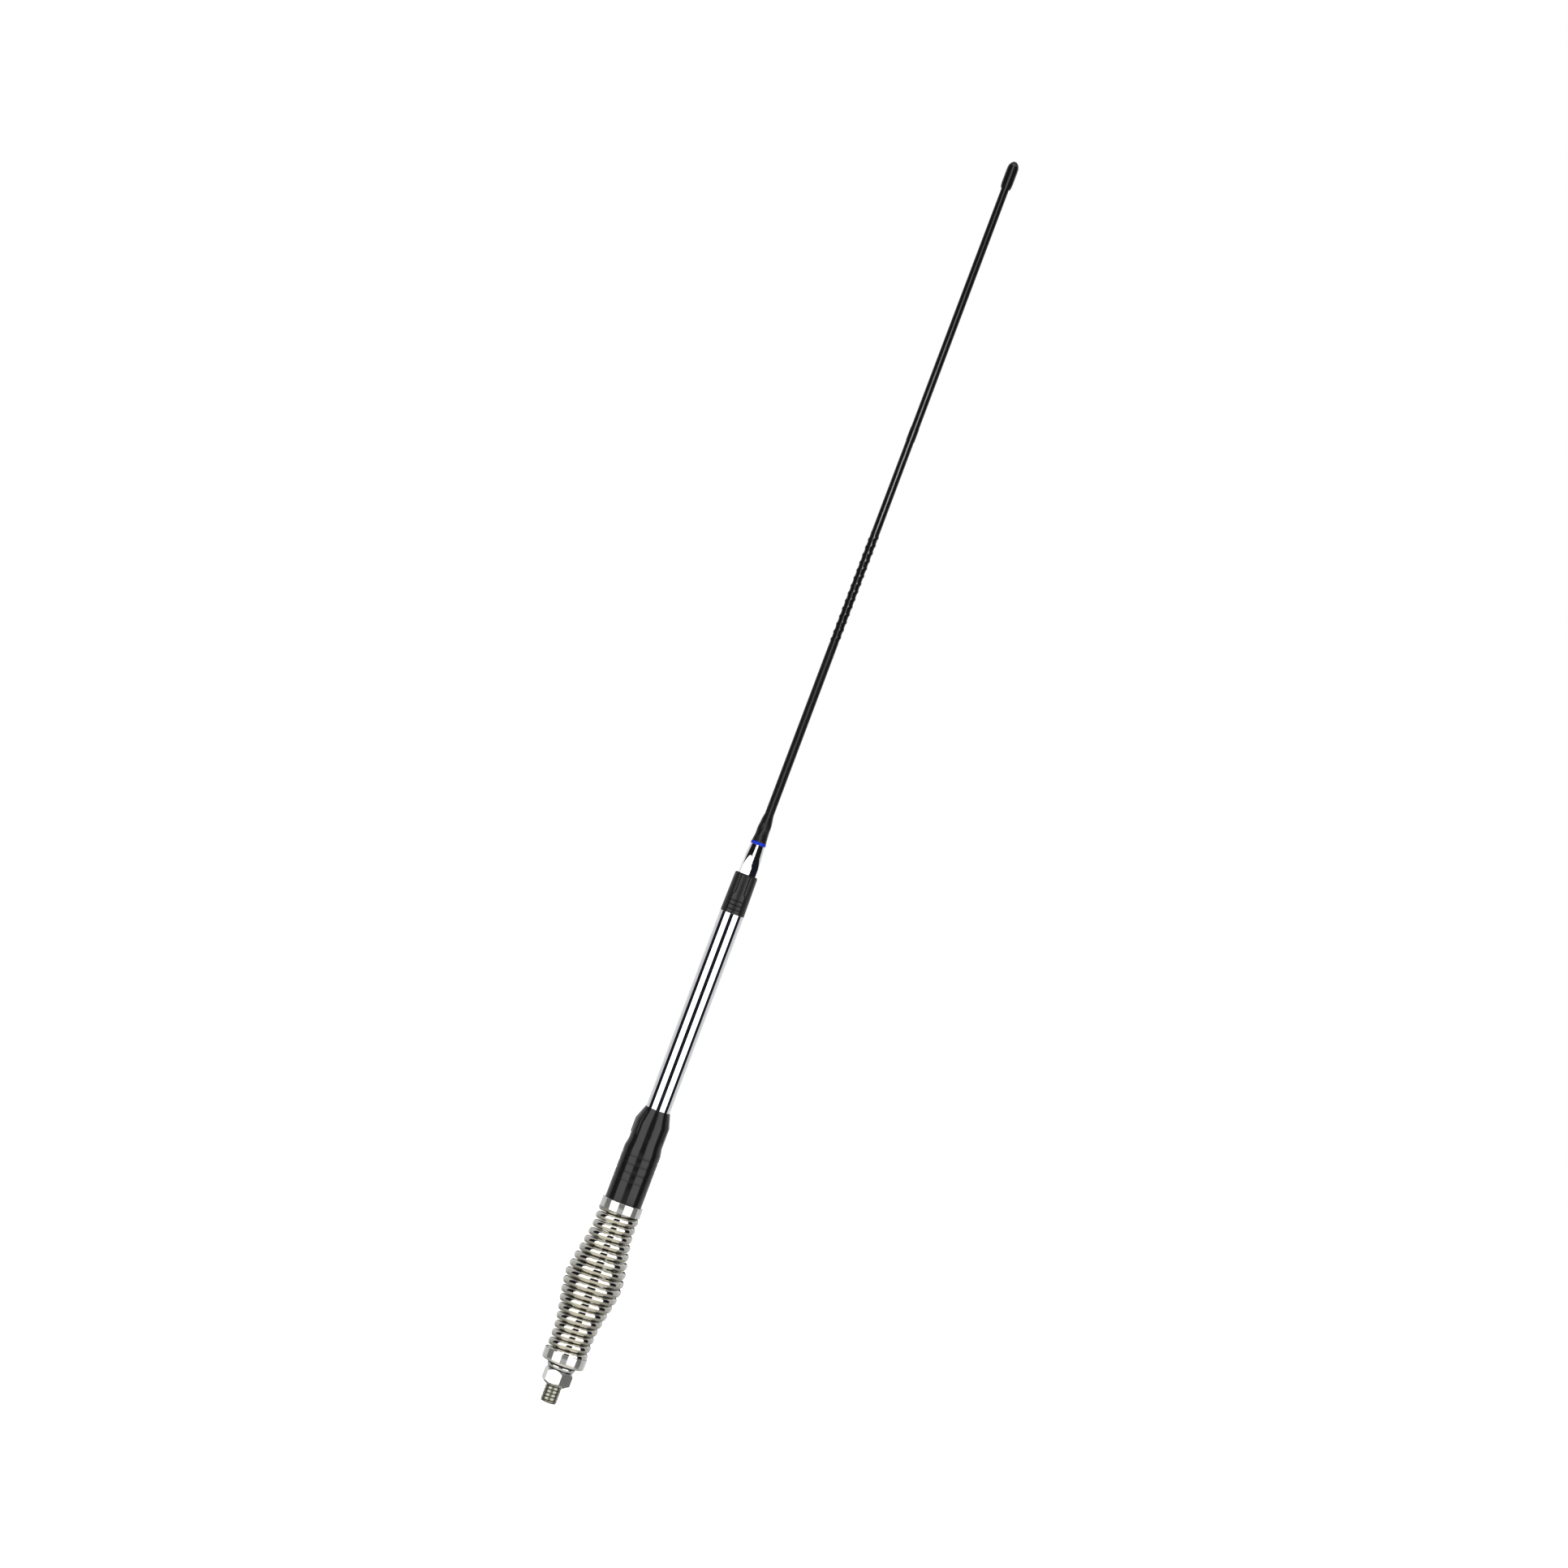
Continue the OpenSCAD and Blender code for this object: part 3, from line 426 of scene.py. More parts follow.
def prism(name, corners, low, high):
    """A straight solid over a flat outline of (x, y) corners."""
    work = bmesh.new()
    foot = [work.verts.new((x * MM, y * MM, low * MM)) for x, y in corners]
    top = [work.verts.new((x * MM, y * MM, high * MM)) for x, y in corners]
    work.faces.new(foot)
    work.faces.new(top)
    for i in range(len(corners)):
        j = (i + 1) % len(corners)
        work.faces.new([foot[i], foot[j], top[j], top[i]])
    bmesh.ops.recalc_face_normals(work, faces=work.faces)
    mesh = bpy.data.meshes.new(name)
    work.to_mesh(mesh)
    work.free()
    return linked(name, mesh)


def hex_bar(name, width, turn, low, high):
    """A hexagonal bar, turned so that one flat faces that many degrees from the front."""
    reach = width / 2 / math.cos(math.radians(30))
    corners = []
    for i in range(6):
        angle = math.radians(turn + 30 + 60 * i)
        corners.append((reach * math.sin(angle), -reach * math.cos(angle)))
    return prism(name, corners, low, high)


def combined(piece, other, operation):
    """piece after a Boolean with other, which is used up."""
    cut = piece.modifiers.new("cut", "BOOLEAN")
    cut.operation = operation
    cut.object = other
    cut.solver = "EXACT"
    depsgraph = bpy.context.evaluated_depsgraph_get()
    mesh = bpy.data.meshes.new_from_object(piece.evaluated_get(depsgraph))
    piece.modifiers.clear()
    piece.data = mesh
    bpy.data.objects.remove(other)
    return piece


def joined(name, pieces):
    """Several meshes as one object, with their materials."""
    work = bmesh.new()
    finishes = []
    for piece in pieces:
        start = len(work.faces)
        work.from_mesh(piece.data)
        work.faces.ensure_lookup_table()
        own = piece.data.materials[0]
        if own not in finishes:
            finishes.append(own)
        for face in work.faces[start:]:
            face.material_index = finishes.index(own)
    mesh = bpy.data.meshes.new(name)
    work.to_mesh(mesh)
    work.free()
    for finish in finishes:
        mesh.materials.append(finish)
    for piece in pieces:
        bpy.data.objects.remove(piece)
    return linked(name, mesh)


def grown(name, build, sizes, base=None, finish="nickel"):
    """A piece made by a node tree with those named sizes, from the mesh of base or from nothing."""
    group = bpy.data.node_groups.new(name, "GeometryNodeTree")
    tree = Tree(group)
    face = group.interface
    face.new_socket("Geometry", in_out="OUTPUT", socket_type="NodeSocketGeometry")
    face.new_socket("Geometry", in_out="INPUT", socket_type="NodeSocketGeometry")
    for label, size in sizes.items():
        kind = "NodeSocketInt" if isinstance(size, int) else "NodeSocketFloat"
        face.new_socket(label, in_out="INPUT", socket_type=kind)
    entry = group.nodes.new("NodeGroupInput")
    given = {output.name: Value(tree, output) for output in entry.outputs if output.name}
    shape = build(tree, given)
    whole = tree.add("GeometryNodeRealizeInstances", {0: shape})
    dressed = tree.add("GeometryNodeSetMaterial", {"Geometry": whole, "Material": MATERIALS[finish]})
    tree.add("NodeGroupOutput", {0: dressed})
    holder = linked(name + "_holder", base.data if base else bpy.data.meshes.new(name))
    grower = holder.modifiers.new(name, "NODES")
    grower.node_group = group
    for item in face.items_tree:
        if item.in_out == "INPUT" and item.name in sizes:
            grower[item.identifier] = sizes[item.name]
    depsgraph = bpy.context.evaluated_depsgraph_get()
    mesh = bpy.data.meshes.new_from_object(holder.evaluated_get(depsgraph))
    mesh.materials.clear()
    mesh.materials.append(MATERIALS[finish])
    holder.modifiers.clear()
    bpy.data.objects.remove(holder)
    if base:
        bpy.data.objects.remove(base)
    return linked(name, mesh)


def seated(piece, *names, slot):
    """piece stands for those nodes and moves with their body."""
    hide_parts(*names)
    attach(piece, body_of_node[names[0]])
    return piece


# Mounting stud

HEX_AF = 20.6
HEX_H = 12.6
HEX_TURN = -14.7
HEX_BEVEL = 2.8
HEX_TOP_BEVEL = 2.3
HEX_FOOT_R = 7.7
HEX_END_R = 10.2
BEAD_NECK_R = 9.3
BEAD_FOOT = 13.3
BEAD_R = 11.4
BEAD_H = 3.9
BEAD_BULGE = 1.5
FERRULE_SEAT = 17.6
SPIGOT_R = 8.0
SOCKET_R = 4.3
SOCKET_DEPTH = 6.0
SEAT_R = 3.9
SEAT_DEPTH = 12.0
STUD_FOOT_R = 5.2
STUD_BEVEL = 1.4


def helix_relief(tree, size):
    """Points outside a radius are pushed in or out by a helical ridge that follows the axis."""
    x, y, z = tree.parts(tree.add("GeometryNodeInputPosition"))
    reach = (x * x + y * y).math("SQRT")
    turn = tree.math("ARCTAN2", x, -y) / (2 * math.pi)
    phase = (z / size["Pitch"] - turn - size["Phase"]).math("FRACT")
    ramp = (phase - 0.5).math("ABSOLUTE") * 2.0
    ridge = ramp.smooth(size["Ridge start"], size["Ridge end"])
    inside = z.smooth(size["From"] - size["Fade"], size["From"]) * (1 - z.smooth(size["To"], size["To"] + size["Fade"]))
    outer = reach.math("GREATER_THAN", size["Wall radius"])
    grown_r = reach + ridge * size["Height"] * inside * outer
    share = grown_r / reach
    spot = tree.vector(x * share, y * share, z)
    return tree.add("GeometryNodeSetPosition", {"Geometry": size["Geometry"], "Position": spot})


def mounting_stud():
    foot, top = box("mounting_stud")[0].z, box("mounting_stud")[1].z
    rows = round(-foot / THREAD_PITCH * THREAD_STEPS)
    wall = [(THREAD_ROOT_R, foot + STUD_BEVEL * 0.1 - foot * i / rows) for i in range(rows)]
    core = lathe("stud_core", [(SOCKET_R, foot), (STUD_FOOT_R - 0.15, foot), *wall, (THREAD_ROOT_R, 0.5),
                               (SOCKET_R, 0.5)], 96)
    thread = grown("stud_thread", helix_relief, {
        "Pitch": THREAD_PITCH * MM, "Phase": THREAD_PHASE, "Height": THREAD_DEPTH * MM, "Wall radius": 5.0 * MM,
        "Ridge start": 0.0, "Ridge end": 0.36, "From": (foot + STUD_BEVEL) * MM, "To": 0.0,
        "Fade": STUD_BEVEL * MM}, core, "thread")
    hexagon = lathe("hex", [(SEAT_R, 0), (HEX_FOOT_R, 0), (HEX_AF / 2 / math.cos(math.radians(30)), HEX_BEVEL),
                            (HEX_AF / 2 / math.cos(math.radians(30)), HEX_H - HEX_TOP_BEVEL), (HEX_END_R, HEX_H),
                            (SEAT_R, HEX_H)], 192)
    hexagon = combined(hexagon, hex_bar("hex_flats", HEX_AF, HEX_TURN, -1, HEX_H + 1), "INTERSECT")
    arc = [(BEAD_R - BEAD_BULGE * (1 - math.cos(a)), BEAD_FOOT + BEAD_H / 2 * (1 + math.sin(a)), 0)
           for a in [math.radians(-84 + 14 * i) for i in range(13)]]
    collar = lathe("stud_collar", softened([
        (CABLE_R + FIT, HEX_H - 0.3, 0), (BEAD_NECK_R, HEX_H - 0.3, 0), (BEAD_NECK_R, BEAD_FOOT, 0.2), *arc,
        (BEAD_R - BEAD_BULGE, FERRULE_SEAT, 0), (SPIGOT_R, FERRULE_SEAT, 0), (SPIGOT_R, top, 0.4),
        (CABLE_R + FIT, top, 0)]))
    sleeve = lathe("stud_socket", [(SOCKET_R, foot + 0.2), (SOCKET_R + 0.3, foot + 0.2), (SOCKET_R + 0.3, 3.0),
                                   (CABLE_R + FIT, 3.0), (CABLE_R + FIT, foot + SEAT_DEPTH),
                                   (SEAT_R, foot + SEAT_DEPTH), (SEAT_R, foot + SOCKET_DEPTH),
                                   (SOCKET_R, foot + SOCKET_DEPTH)], 96)
    shaded(thread, 50)
    for part in (hexagon, collar, sleeve):
        painted(shaded(part, 2.5 if part is hexagon else SHARP), "nickel")
    seated(joined("threaded_stud", [hexagon, thread, collar, sleeve]), "mounting_stud", slot="nickel")


THREAD_PHASE = 0.25


# Spring ferrules

RIM_BEVEL = 0.5
LOWER_ROUND = 1.9
BOSS_R = 9.58


def lower_ferrule():
    low, high = box("lower_ferrule")
    r = high.x
    rim = SPRING_LOW - SEAT_GAP
    piece = lathe("lower_spring_seat", softened([
        (SPIGOT_R + FIT, low.z, 0), (r, low.z, LOWER_ROUND), (r, rim, RIM_BEVEL), (BOSS_R, rim, 0),
        (BOSS_R, high.z, RIM_BEVEL), (CABLE_R + FIT, high.z, 0), (CABLE_R + FIT, low.z + 8.0, 0),
        (SPIGOT_R + FIT, low.z + 8.0, 0)]))
    seated(painted(shaded(piece), "nickel"), "lower_ferrule", slot="chrome")


def upper_ferrule():
    low, high = box("upper_ferrule")
    r = high.x
    rim = SPRING_HIGH + SEAT_GAP
    piece = lathe("upper_spring_seat", softened([
        (CABLE_R + FIT, low.z, 0), (BOSS_R, low.z, RIM_BEVEL), (BOSS_R, rim, 0), (r, rim, RIM_BEVEL),
        (r, high.z, RIM_BEVEL), (8.05, high.z, 0), (8.05, high.z - 6.5, 0), (CABLE_R + FIT, high.z - 6.5, 0)]))
    seated(painted(shaded(piece), "nickel"), "upper_ferrule", slot="chrome")


# Barrel spring

WIRE_R = 3.3
COIL_PITCH = 6.97
COIL_TURNS = 16.25
SPRING_END_R = 33.4 / 2 - WIRE_R
SPRING_BELLY_R = 47.4 / 2 - WIRE_R - 0.15
BELLY_H = 59.5
SWELL_H = 43.0
LIFT_ANGLE = -170.0
LOWER_TAIL = 310.0
UPPER_TAIL = 150.0
SEAM_ANGLE = 180.0 + 360 * 7
STEPS_PER_TURN = 64
WIRE_SIDES = 32


def wound_wire(tree, size):
    """Wire wound on a barrel: each point's angle gives its height and radius, and the ends are ground flat."""
    line = tree.add("GeometryNodeCurvePrimitiveLine", {"Start": (0, 0, 0), "End": (1, 0, 0)})
    line = tree.add("GeometryNodeResampleCurve", {"Curve": line, "Count": size["Points"]})
    share = tree.add("GeometryNodeSplineParameter", out="Factor")
    turned = size["First angle"] + (size["Last angle"] - size["First angle"]) * share
    z = size["Seat"] + size["Wire radius"] + size["Pitch"] * (turned - size["Lift angle"]) / 360.0
    away = ((z - size["Seat"] - size["Belly height"]).math("ABSOLUTE") / size["Swell height"]).math("MINIMUM", 1.0)
    lobe = (away * (math.pi / 2)).math("COSINE")
    swell = (1 - away + lobe * lobe) * 0.5
    reach = size["End radius"] + (size["Belly radius"] - size["End radius"]) * swell
    angle = turned * (math.pi / 180)
    spot = tree.vector(reach * angle.math("SINE"), -(reach * angle.math("COSINE")), z)
    path = tree.add("GeometryNodeSetPosition", {"Geometry": line, "Position": spot})
    path = tree.add("GeometryNodeSetCurveNormal", {"Curve": path}, mode="Z_UP")
    section = tree.add("GeometryNodeCurvePrimitiveCircle",
                       {"Resolution": size["Sides"], "Radius": size["Wire radius"]}, mode="RADIUS")
    wire = tree.add("GeometryNodeCurveToMesh", {"Curve": path, "Profile Curve": section, "Fill Caps": True})
    x, y, height = tree.parts(tree.add("GeometryNodeInputPosition"))
    ground = height.math("MAXIMUM", size["Seat"]).math("MINIMUM", size["Seat"] + size["Height"])
    return tree.add("GeometryNodeSetPosition", {"Geometry": wire, "Position": tree.vector(x, y, ground)})


def coil_half(name, first, last):
    sizes = {
        "Points": round((last - first) / 360 * STEPS_PER_TURN) + 1, "Sides": WIRE_SIDES,
        "First angle": first, "Last angle": last, "Lift angle": LIFT_ANGLE,
        "Seat": SPRING_LOW * MM, "Height": (SPRING_HIGH - SPRING_LOW) * MM, "Wire radius": WIRE_R * MM,
        "Pitch": COIL_PITCH * MM, "End radius": SPRING_END_R * MM, "Belly radius": SPRING_BELLY_R * MM,
        "Belly height": BELLY_H * MM, "Swell height": SWELL_H * MM}
    return shaded(grown(name, wound_wire, sizes, finish="spring_nickel"), 40)


def spread_bend(piece, upper, slot, *names):
    """The piece's placing is baked into its mesh, and those nodes are hidden; upper, which tells the lower half of the
    spring from the upper, is not used.
    """
    if names:
        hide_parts(*names)
    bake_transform(piece)


def barrel_spring():
    last = LIFT_ANGLE + 360 * COIL_TURNS + UPPER_TAIL
    lower = coil_half("spring_lower_coils", LIFT_ANGLE - LOWER_TAIL, SEAM_ANGLE)
    upper = coil_half("spring_upper_coils", SEAM_ANGLE, last)
    spread_bend(lower, False, "spring_nickel", "barrel_spring")
    spread_bend(upper, True, "spring_nickel")


CABLE_SEAM = 85.0
CABLE_ROWS = 24


def cable_in_spring():
    low, high = box("cable_spring")
    for upper, start, end in ((False, low.z, CABLE_SEAM), (True, CABLE_SEAM, high.z)):
        wall = [(CABLE_R, start + (end - start) * i / CABLE_ROWS) for i in range(CABLE_ROWS + 1)]
        piece = lathe("cable_upper_half" if upper else "cable_lower_half", [(0, start), *wall, (0, end)], 32)
        painted(shaded(piece), "jacket_black")
        spread_bend(piece, upper, "jacket_black", *(() if upper else ("cable_spring",)))


# Base moulding

GRIP_R = 14.8
GRIP_H = 42.5
TAPER_H = 6.3
WAIST_R = 13.6
WAIST_H = 16.4
CONE_H = 11.3
LIP_R = TUBE_R + FIT + 0.55
GROOVE_COUNT = 4
GROOVE_PITCH = 6.64
GROOVE_H = 0.7
GROOVE_DEPTH = 0.45
GROOVE_DROP = 5.3
RIB_COUNT = 7
RIB_TURN = 5.0
RIB_W = 0.9
RIB_OUT = 0.5
RIB_WAIST = 11.7
RIB_CONE = 8.5
INSERT_FLANGE_R = 11.0
INSERT_FLANGE_H = 8.0


def rib_fan(tree, size):
    """One rib, repeated round the waist."""
    ring = tree.add("GeometryNodeMeshCircle", {"Vertices": size["Count"], "Radius": MM})
    number = tree.add("GeometryNodeInputIndex")
    turn = tree.vector(0.0, 0.0, (number * 360.0 / size["Count"] + size["First angle"]) * (math.pi / 180))
    centred = tree.add("GeometryNodeSetPosition", {"Geometry": ring, "Position": (0, 0, 0)})
    return tree.add("GeometryNodeInstanceOnPoints",
                    {"Points": centred, "Instance": size["Geometry"], "Rotation": turn})


def waist_ribs(waist_z, cone_z):
    """Thin upright ribs with rounded backs, from the waist on to the cone."""
    run = RIB_CONE / CONE_H
    top_r = WAIST_R + (LIP_R - WAIST_R) * run
    foot_z = cone_z - RIB_WAIST
    spine = [(WAIST_R, -0.1, foot_z), (WAIST_R, RIB_OUT * 0.6, foot_z + 0.35), (WAIST_R, RIB_OUT, foot_z + 1.0),
             (WAIST_R, RIB_OUT, cone_z - 0.6), (WAIST_R - 0.12, RIB_OUT * 0.9, cone_z + 0.5),
             (top_r, -0.05, cone_z + RIB_CONE)]
    across = [math.sin(math.pi * (i / 8 - 0.5)) for i in range(9)]
    work = bmesh.new()
    rows = []
    for wall_r, out, z in spine:
        row = []
        for side in across:
            height = (out + RIB_W) * math.sqrt(max(0.0, 1 - side ** 6))
            row.append(work.verts.new((side * RIB_W / 2 * MM, -(wall_r - RIB_W + height) * MM, z * MM)))
        rows.append(row)
    for row, after in zip(rows, rows[1:]):
        for j in range(len(across) - 1):
            work.faces.new([row[j], row[j + 1], after[j + 1], after[j]])
        work.faces.new([row[-1], row[0], after[0], after[-1]])
    work.faces.new(rows[0])
    work.faces.new(rows[-1])
    bmesh.ops.recalc_face_normals(work, faces=work.faces)
    mesh = bpy.data.meshes.new("rib")
    work.to_mesh(mesh)
    work.free()
    rib = linked("rib", mesh)
    return grown("waist_ribs", rib_fan, {"Count": RIB_COUNT, "First angle": RIB_TURN}, rib, "gloss_black")


def base_moulding():
    taper_z = GRIP_Z + GRIP_H
    waist_z = taper_z + TAPER_H
    cone_z = waist_z + WAIST_H
    lip = 0.5
    grooves = []
    for i in reversed(range(GROOVE_COUNT)):
        z = taper_z - GROOVE_DROP - i * GROOVE_PITCH
        depth = GROOVE_DEPTH * (0.45 if i == GROOVE_COUNT - 1 else 1.0)
        grooves += [(GRIP_R, z - GROOVE_H / 2, 0.18), (GRIP_R - depth, z - GROOVE_H / 2 + 0.1, 0.1),
                    (GRIP_R - depth, z + GROOVE_H / 2 - 0.1, 0.1), (GRIP_R, z + GROOVE_H / 2, 0.18)]
    body = lathe("moulding_body", softened([
        (INSERT_FLANGE_R + FIT, GRIP_Z, 0), (GRIP_R, GRIP_Z, 0.4), *grooves, (GRIP_R, taper_z, 0.5),
        (WAIST_R, waist_z, 0.5), (WAIST_R, cone_z, 0.6), (LIP_R, GRIP_TOP, lip * 0.5),
        (TUBE_R + FIT, GRIP_TOP, 0), (TUBE_R + FIT, GRIP_Z + INSERT_FLANGE_H, 0),
        (INSERT_FLANGE_R + FIT, GRIP_Z + INSERT_FLANGE_H, 0)]))
    painted(shaded(body), "gloss_black")
    ribs = shaded(waist_ribs(waist_z, cone_z), 60)
    seated(joined("grip_moulding", [body, ribs]), "base_moulding", slot="gloss_black")


# Mast tube and feed collar

TUBE_WALL = 1.2
COLLAR_BEVEL = 0.9
PANEL_TOP_W = 7.1
PANEL_FOOT_W = 10.5
PANEL_FOOT_H = 14.6
PANEL_STEP_H = 2.3
LINE_W = 0.8
LEVELS = (3.2, 6.75, 10.3)
WHIP_STUD_R = 3.97


def mast_tube():
    low, high = box("mast_tube")
    inner = TUBE_R - TUBE_WALL
    rows = 60
    outer = [(TUBE_R, low.z + 0.2 + (high.z - low.z - 0.4) * i / rows, 0) for i in range(rows + 1)]
    piece = lathe("chrome_tube", softened([
        (inner, low.z, 0), (TUBE_R - 0.15, low.z, 0), *outer, (TUBE_R - 0.15, high.z, 0), (inner, high.z, 0)]), 192)
    seated(painted(shaded(piece), "chrome"), "mast_tube", slot="chrome")


def panel_cutter():
    """The panel's outline and level lines as bars that run right through from front to back."""
    low, high = COLLAR_Z - 1.0, COLLAR_TOP + 1.0
    step_z = COLLAR_Z + PANEL_FOOT_H
    upper_z = step_z + PANEL_STEP_H
    reach = COLLAR_FOOT_R + 2.0
    bars = []
    for side in (-1, 1):
        outline = [(side * (PANEL_FOOT_W - LINE_W) / 2, low), (side * (PANEL_FOOT_W - LINE_W) / 2, step_z),
                   (side * (PANEL_TOP_W - LINE_W) / 2, upper_z), (side * (PANEL_TOP_W - LINE_W) / 2, high),
                   (side * (PANEL_TOP_W + LINE_W) / 2, high), (side * (PANEL_TOP_W + LINE_W) / 2, upper_z),
                   (side * (PANEL_FOOT_W + LINE_W) / 2, step_z), (side * (PANEL_FOOT_W + LINE_W) / 2, low)]
        bars.append(outline)
    half = (PANEL_FOOT_W - LINE_W) / 2 + 0.1
    for level in LEVELS:
        z = COLLAR_Z + level
        bars.append([(-half, z - LINE_W / 2), (half, z - LINE_W / 2), (half, z + LINE_W / 2), (-half, z + LINE_W / 2)])
    cutter = None
    for outline in bars:
        bar = prism("bar", [(x, z) for x, z in outline], -reach, reach)
        bar.data.transform(Matrix.Rotation(math.radians(90), 4, "X"))
        bar.data.update()
        cutter = combined(cutter, bar, "UNION") if cutter else bar
    return cutter


def feed_collar():
    low = box("feed_collar")[0].z
    spigot_r = TUBE_R - TUBE_WALL - FIT
    run = (COLLAR_FOOT_R - COLLAR_TOP_R) / (COLLAR_TOP - COLLAR_Z)
    shell = lathe("line_shell", [(COLLAR_FOOT_R - LINE_DEPTH, COLLAR_Z - 0.5), (COLLAR_FOOT_R + 1.0, COLLAR_Z - 0.5),
                                 (COLLAR_FOOT_R + 1.0, COLLAR_TOP + 0.5), (COLLAR_TOP_R - LINE_DEPTH, COLLAR_TOP + 0.5)])
    shell = combined(shell, panel_cutter(), "INTERSECT")
    piece = lathe("collar_body", softened([
        (WHIP_STUD_R + FIT, low, 0), (spigot_r, low, 0.3), (spigot_r, COLLAR_Z, 0), (COLLAR_FOOT_R, COLLAR_Z, 0.25),
        (COLLAR_TOP_R + run * COLLAR_BEVEL, COLLAR_TOP - COLLAR_BEVEL, 0.3), (COLLAR_TOP_R - COLLAR_BEVEL, COLLAR_TOP, 0.3),
        (WHIP_STUD_R + FIT, COLLAR_TOP, 0)]))
    piece = combined(piece, shell, "DIFFERENCE")
    piece.name = "panelled_collar"
    seated(painted(shaded(piece), "satin_black"), "feed_collar", slot="satin_black")


# Whip ferrule, colour ring and boot

WHIP_AF = 13.0
WHIP_FOOT_R = 7.35
WHIP_FOOT_H = 6.4
WHIP_CONE_R = 5.6
WHIP_TURN = -19.6
NECK_R = 4.5
RING_R = 6.05
BOOT_PROFILE = ((0.0, 5.75), (0.05, 5.7), (0.16, 5.45), (0.3, 5.08), (0.42, 4.95), (0.56, 4.9), (0.7, 4.78),
                (0.82, 4.5), (0.9, 4.1), (0.96, 3.8), (1.0, 3.68))


def whip_ferrule():
    low, high = box("whip_ferrule")
    ring_z = RING_Z - SEAT_GAP
    rod_seat = low.z + 13.05
    piece = lathe("hex_cone", softened([
        (WHIP_STUD_R + FIT, low.z, 0), (WHIP_FOOT_R, low.z, 0.25), (WHIP_FOOT_R, low.z + WHIP_FOOT_H, 0),
        (WHIP_CONE_R, ring_z, 0.35), (NECK_R, ring_z, 0), (NECK_R, high.z, 0), (2.45, high.z, 0),
        (2.45, rod_seat, 0), (WHIP_STUD_R + FIT, rod_seat, 0)]), 192)
    piece = combined(piece, hex_bar("whip_flats", WHIP_AF, WHIP_TURN, low.z - 1, high.z + 1), "INTERSECT")
    piece.name = "hex_to_cone_ferrule"
    seated(painted(shaded(piece, 2.5), "chrome"), "whip_ferrule", slot="chrome")


def colour_ring():
    low, high = box("colour_ring")
    piece = lathe("blue_ring", softened([(NECK_R + FIT, low.z, 0), (RING_R, low.z, 0.25), (RING_R, high.z, 0.25),
                                         (NECK_R + FIT, high.z, 0)]), 128)
    seated(painted(shaded(piece), "ring_blue"), "colour_ring", slot="ring_blue")


def boot_lumps(angle, r, z):
    """The shrunk boot isn't quite round: soft lumps that fade where it meets its neighbours."""
    low, high = box("ferrule_boot")
    if r < 4.6 and z < high.z - 9.0:
        return r
    t = (z - low.z) / (high.z - low.z)
    fade = max(0.0, math.sin(math.pi * min(1.0, max(0.0, t)))) ** 0.7
    return r + fade * (0.13 * math.sin(2 * angle + 9 * t + 0.6) + 0.09 * math.sin(3 * angle - 14 * t))


def ferrule_boot():
    low, high = box("ferrule_boot")
    rows = 40
    outer = []
    for i in range(rows + 1):
        t = i / rows
        for (t0, r0), (t1, r1) in zip(BOOT_PROFILE, BOOT_PROFILE[1:]):
            if t0 <= t <= t1:
                outer.append((r0 + (r1 - r0) * (t - t0) / (t1 - t0), low.z + t * (high.z - low.z)))
                break
    neck_top = box("whip_ferrule")[1].z + SEAT_GAP
    piece = lathe("shrunk_boot", [(NECK_R + FIT, low.z), *outer, (3.65, high.z), (3.65, neck_top),
                                  (NECK_R + FIT, neck_top)], 96, boot_lumps)
    seated(painted(shaded(piece, 60), "jacket_black"), "ferrule_boot", slot="jacket_black")


# Whip sleeves and tip cap

ROD_FOOT_R = 2.4
COIL_SEAT_R = 2.15
ROD_TIP_R = 1.9


def rod_r(z):
    """Radius of the rod at a height."""
    low, high = box("whip_rod")
    seat, seat_top = box("coil_jacket")
    if z < seat.z:
        return ROD_FOOT_R + (COIL_SEAT_R - ROD_FOOT_R) * (z - low.z) / (seat.z - low.z)
    if z <= seat_top.z:
        return COIL_SEAT_R
    return COIL_SEAT_R + (ROD_TIP_R - COIL_SEAT_R) * (z - seat_top.z) / (high.z - seat_top.z)


def sleeve(name, node, foot_r, top_r, segments=64):
    low, high = box(node)
    rows = 40
    outer = [(foot_r + (top_r - foot_r) * i / rows, low.z + (high.z - low.z) * i / rows) for i in range(rows + 1)]
    piece = lathe(name, [(rod_r(low.z) + FIT, low.z), *outer, (rod_r(high.z) + FIT, high.z)], segments)
    seated(painted(shaded(piece), "jacket_black"), node, slot="jacket_black")


JACKET_R = 3.34
JACKET_RIDGE = 0.5
PHASING_PITCH = 6.36


def coil_jacket():
    low, high = box("coil_jacket")
    rows = 240
    inner = rod_r(low.z) + 0.7
    outer = [(JACKET_R + (SLEEVE_TOP_R - JACKET_R) * max(0, 1 - i / 6), low.z + (high.z - low.z) * i / rows)
             for i in range(rows + 1)]
    base = lathe("jacket_wall", [(inner, low.z), *outer, (inner, high.z)], 64)
    piece = grown("coil_sleeve", helix_relief, {
        "Pitch": PHASING_PITCH * MM, "Phase": (low.z + PHASING_PITCH / 4) / PHASING_PITCH - 0.25,
        "Height": JACKET_RIDGE * MM, "Wall radius": (inner + 0.1) * MM, "Ridge start": 0.35, "Ridge end": 1.0,
        "From": (low.z + 5.0) * MM, "To": (high.z - 4.0) * MM, "Fade": 4.0 * MM}, base, "jacket_black")
    seated(shaded(piece, 60), "coil_jacket", slot="jacket_black")


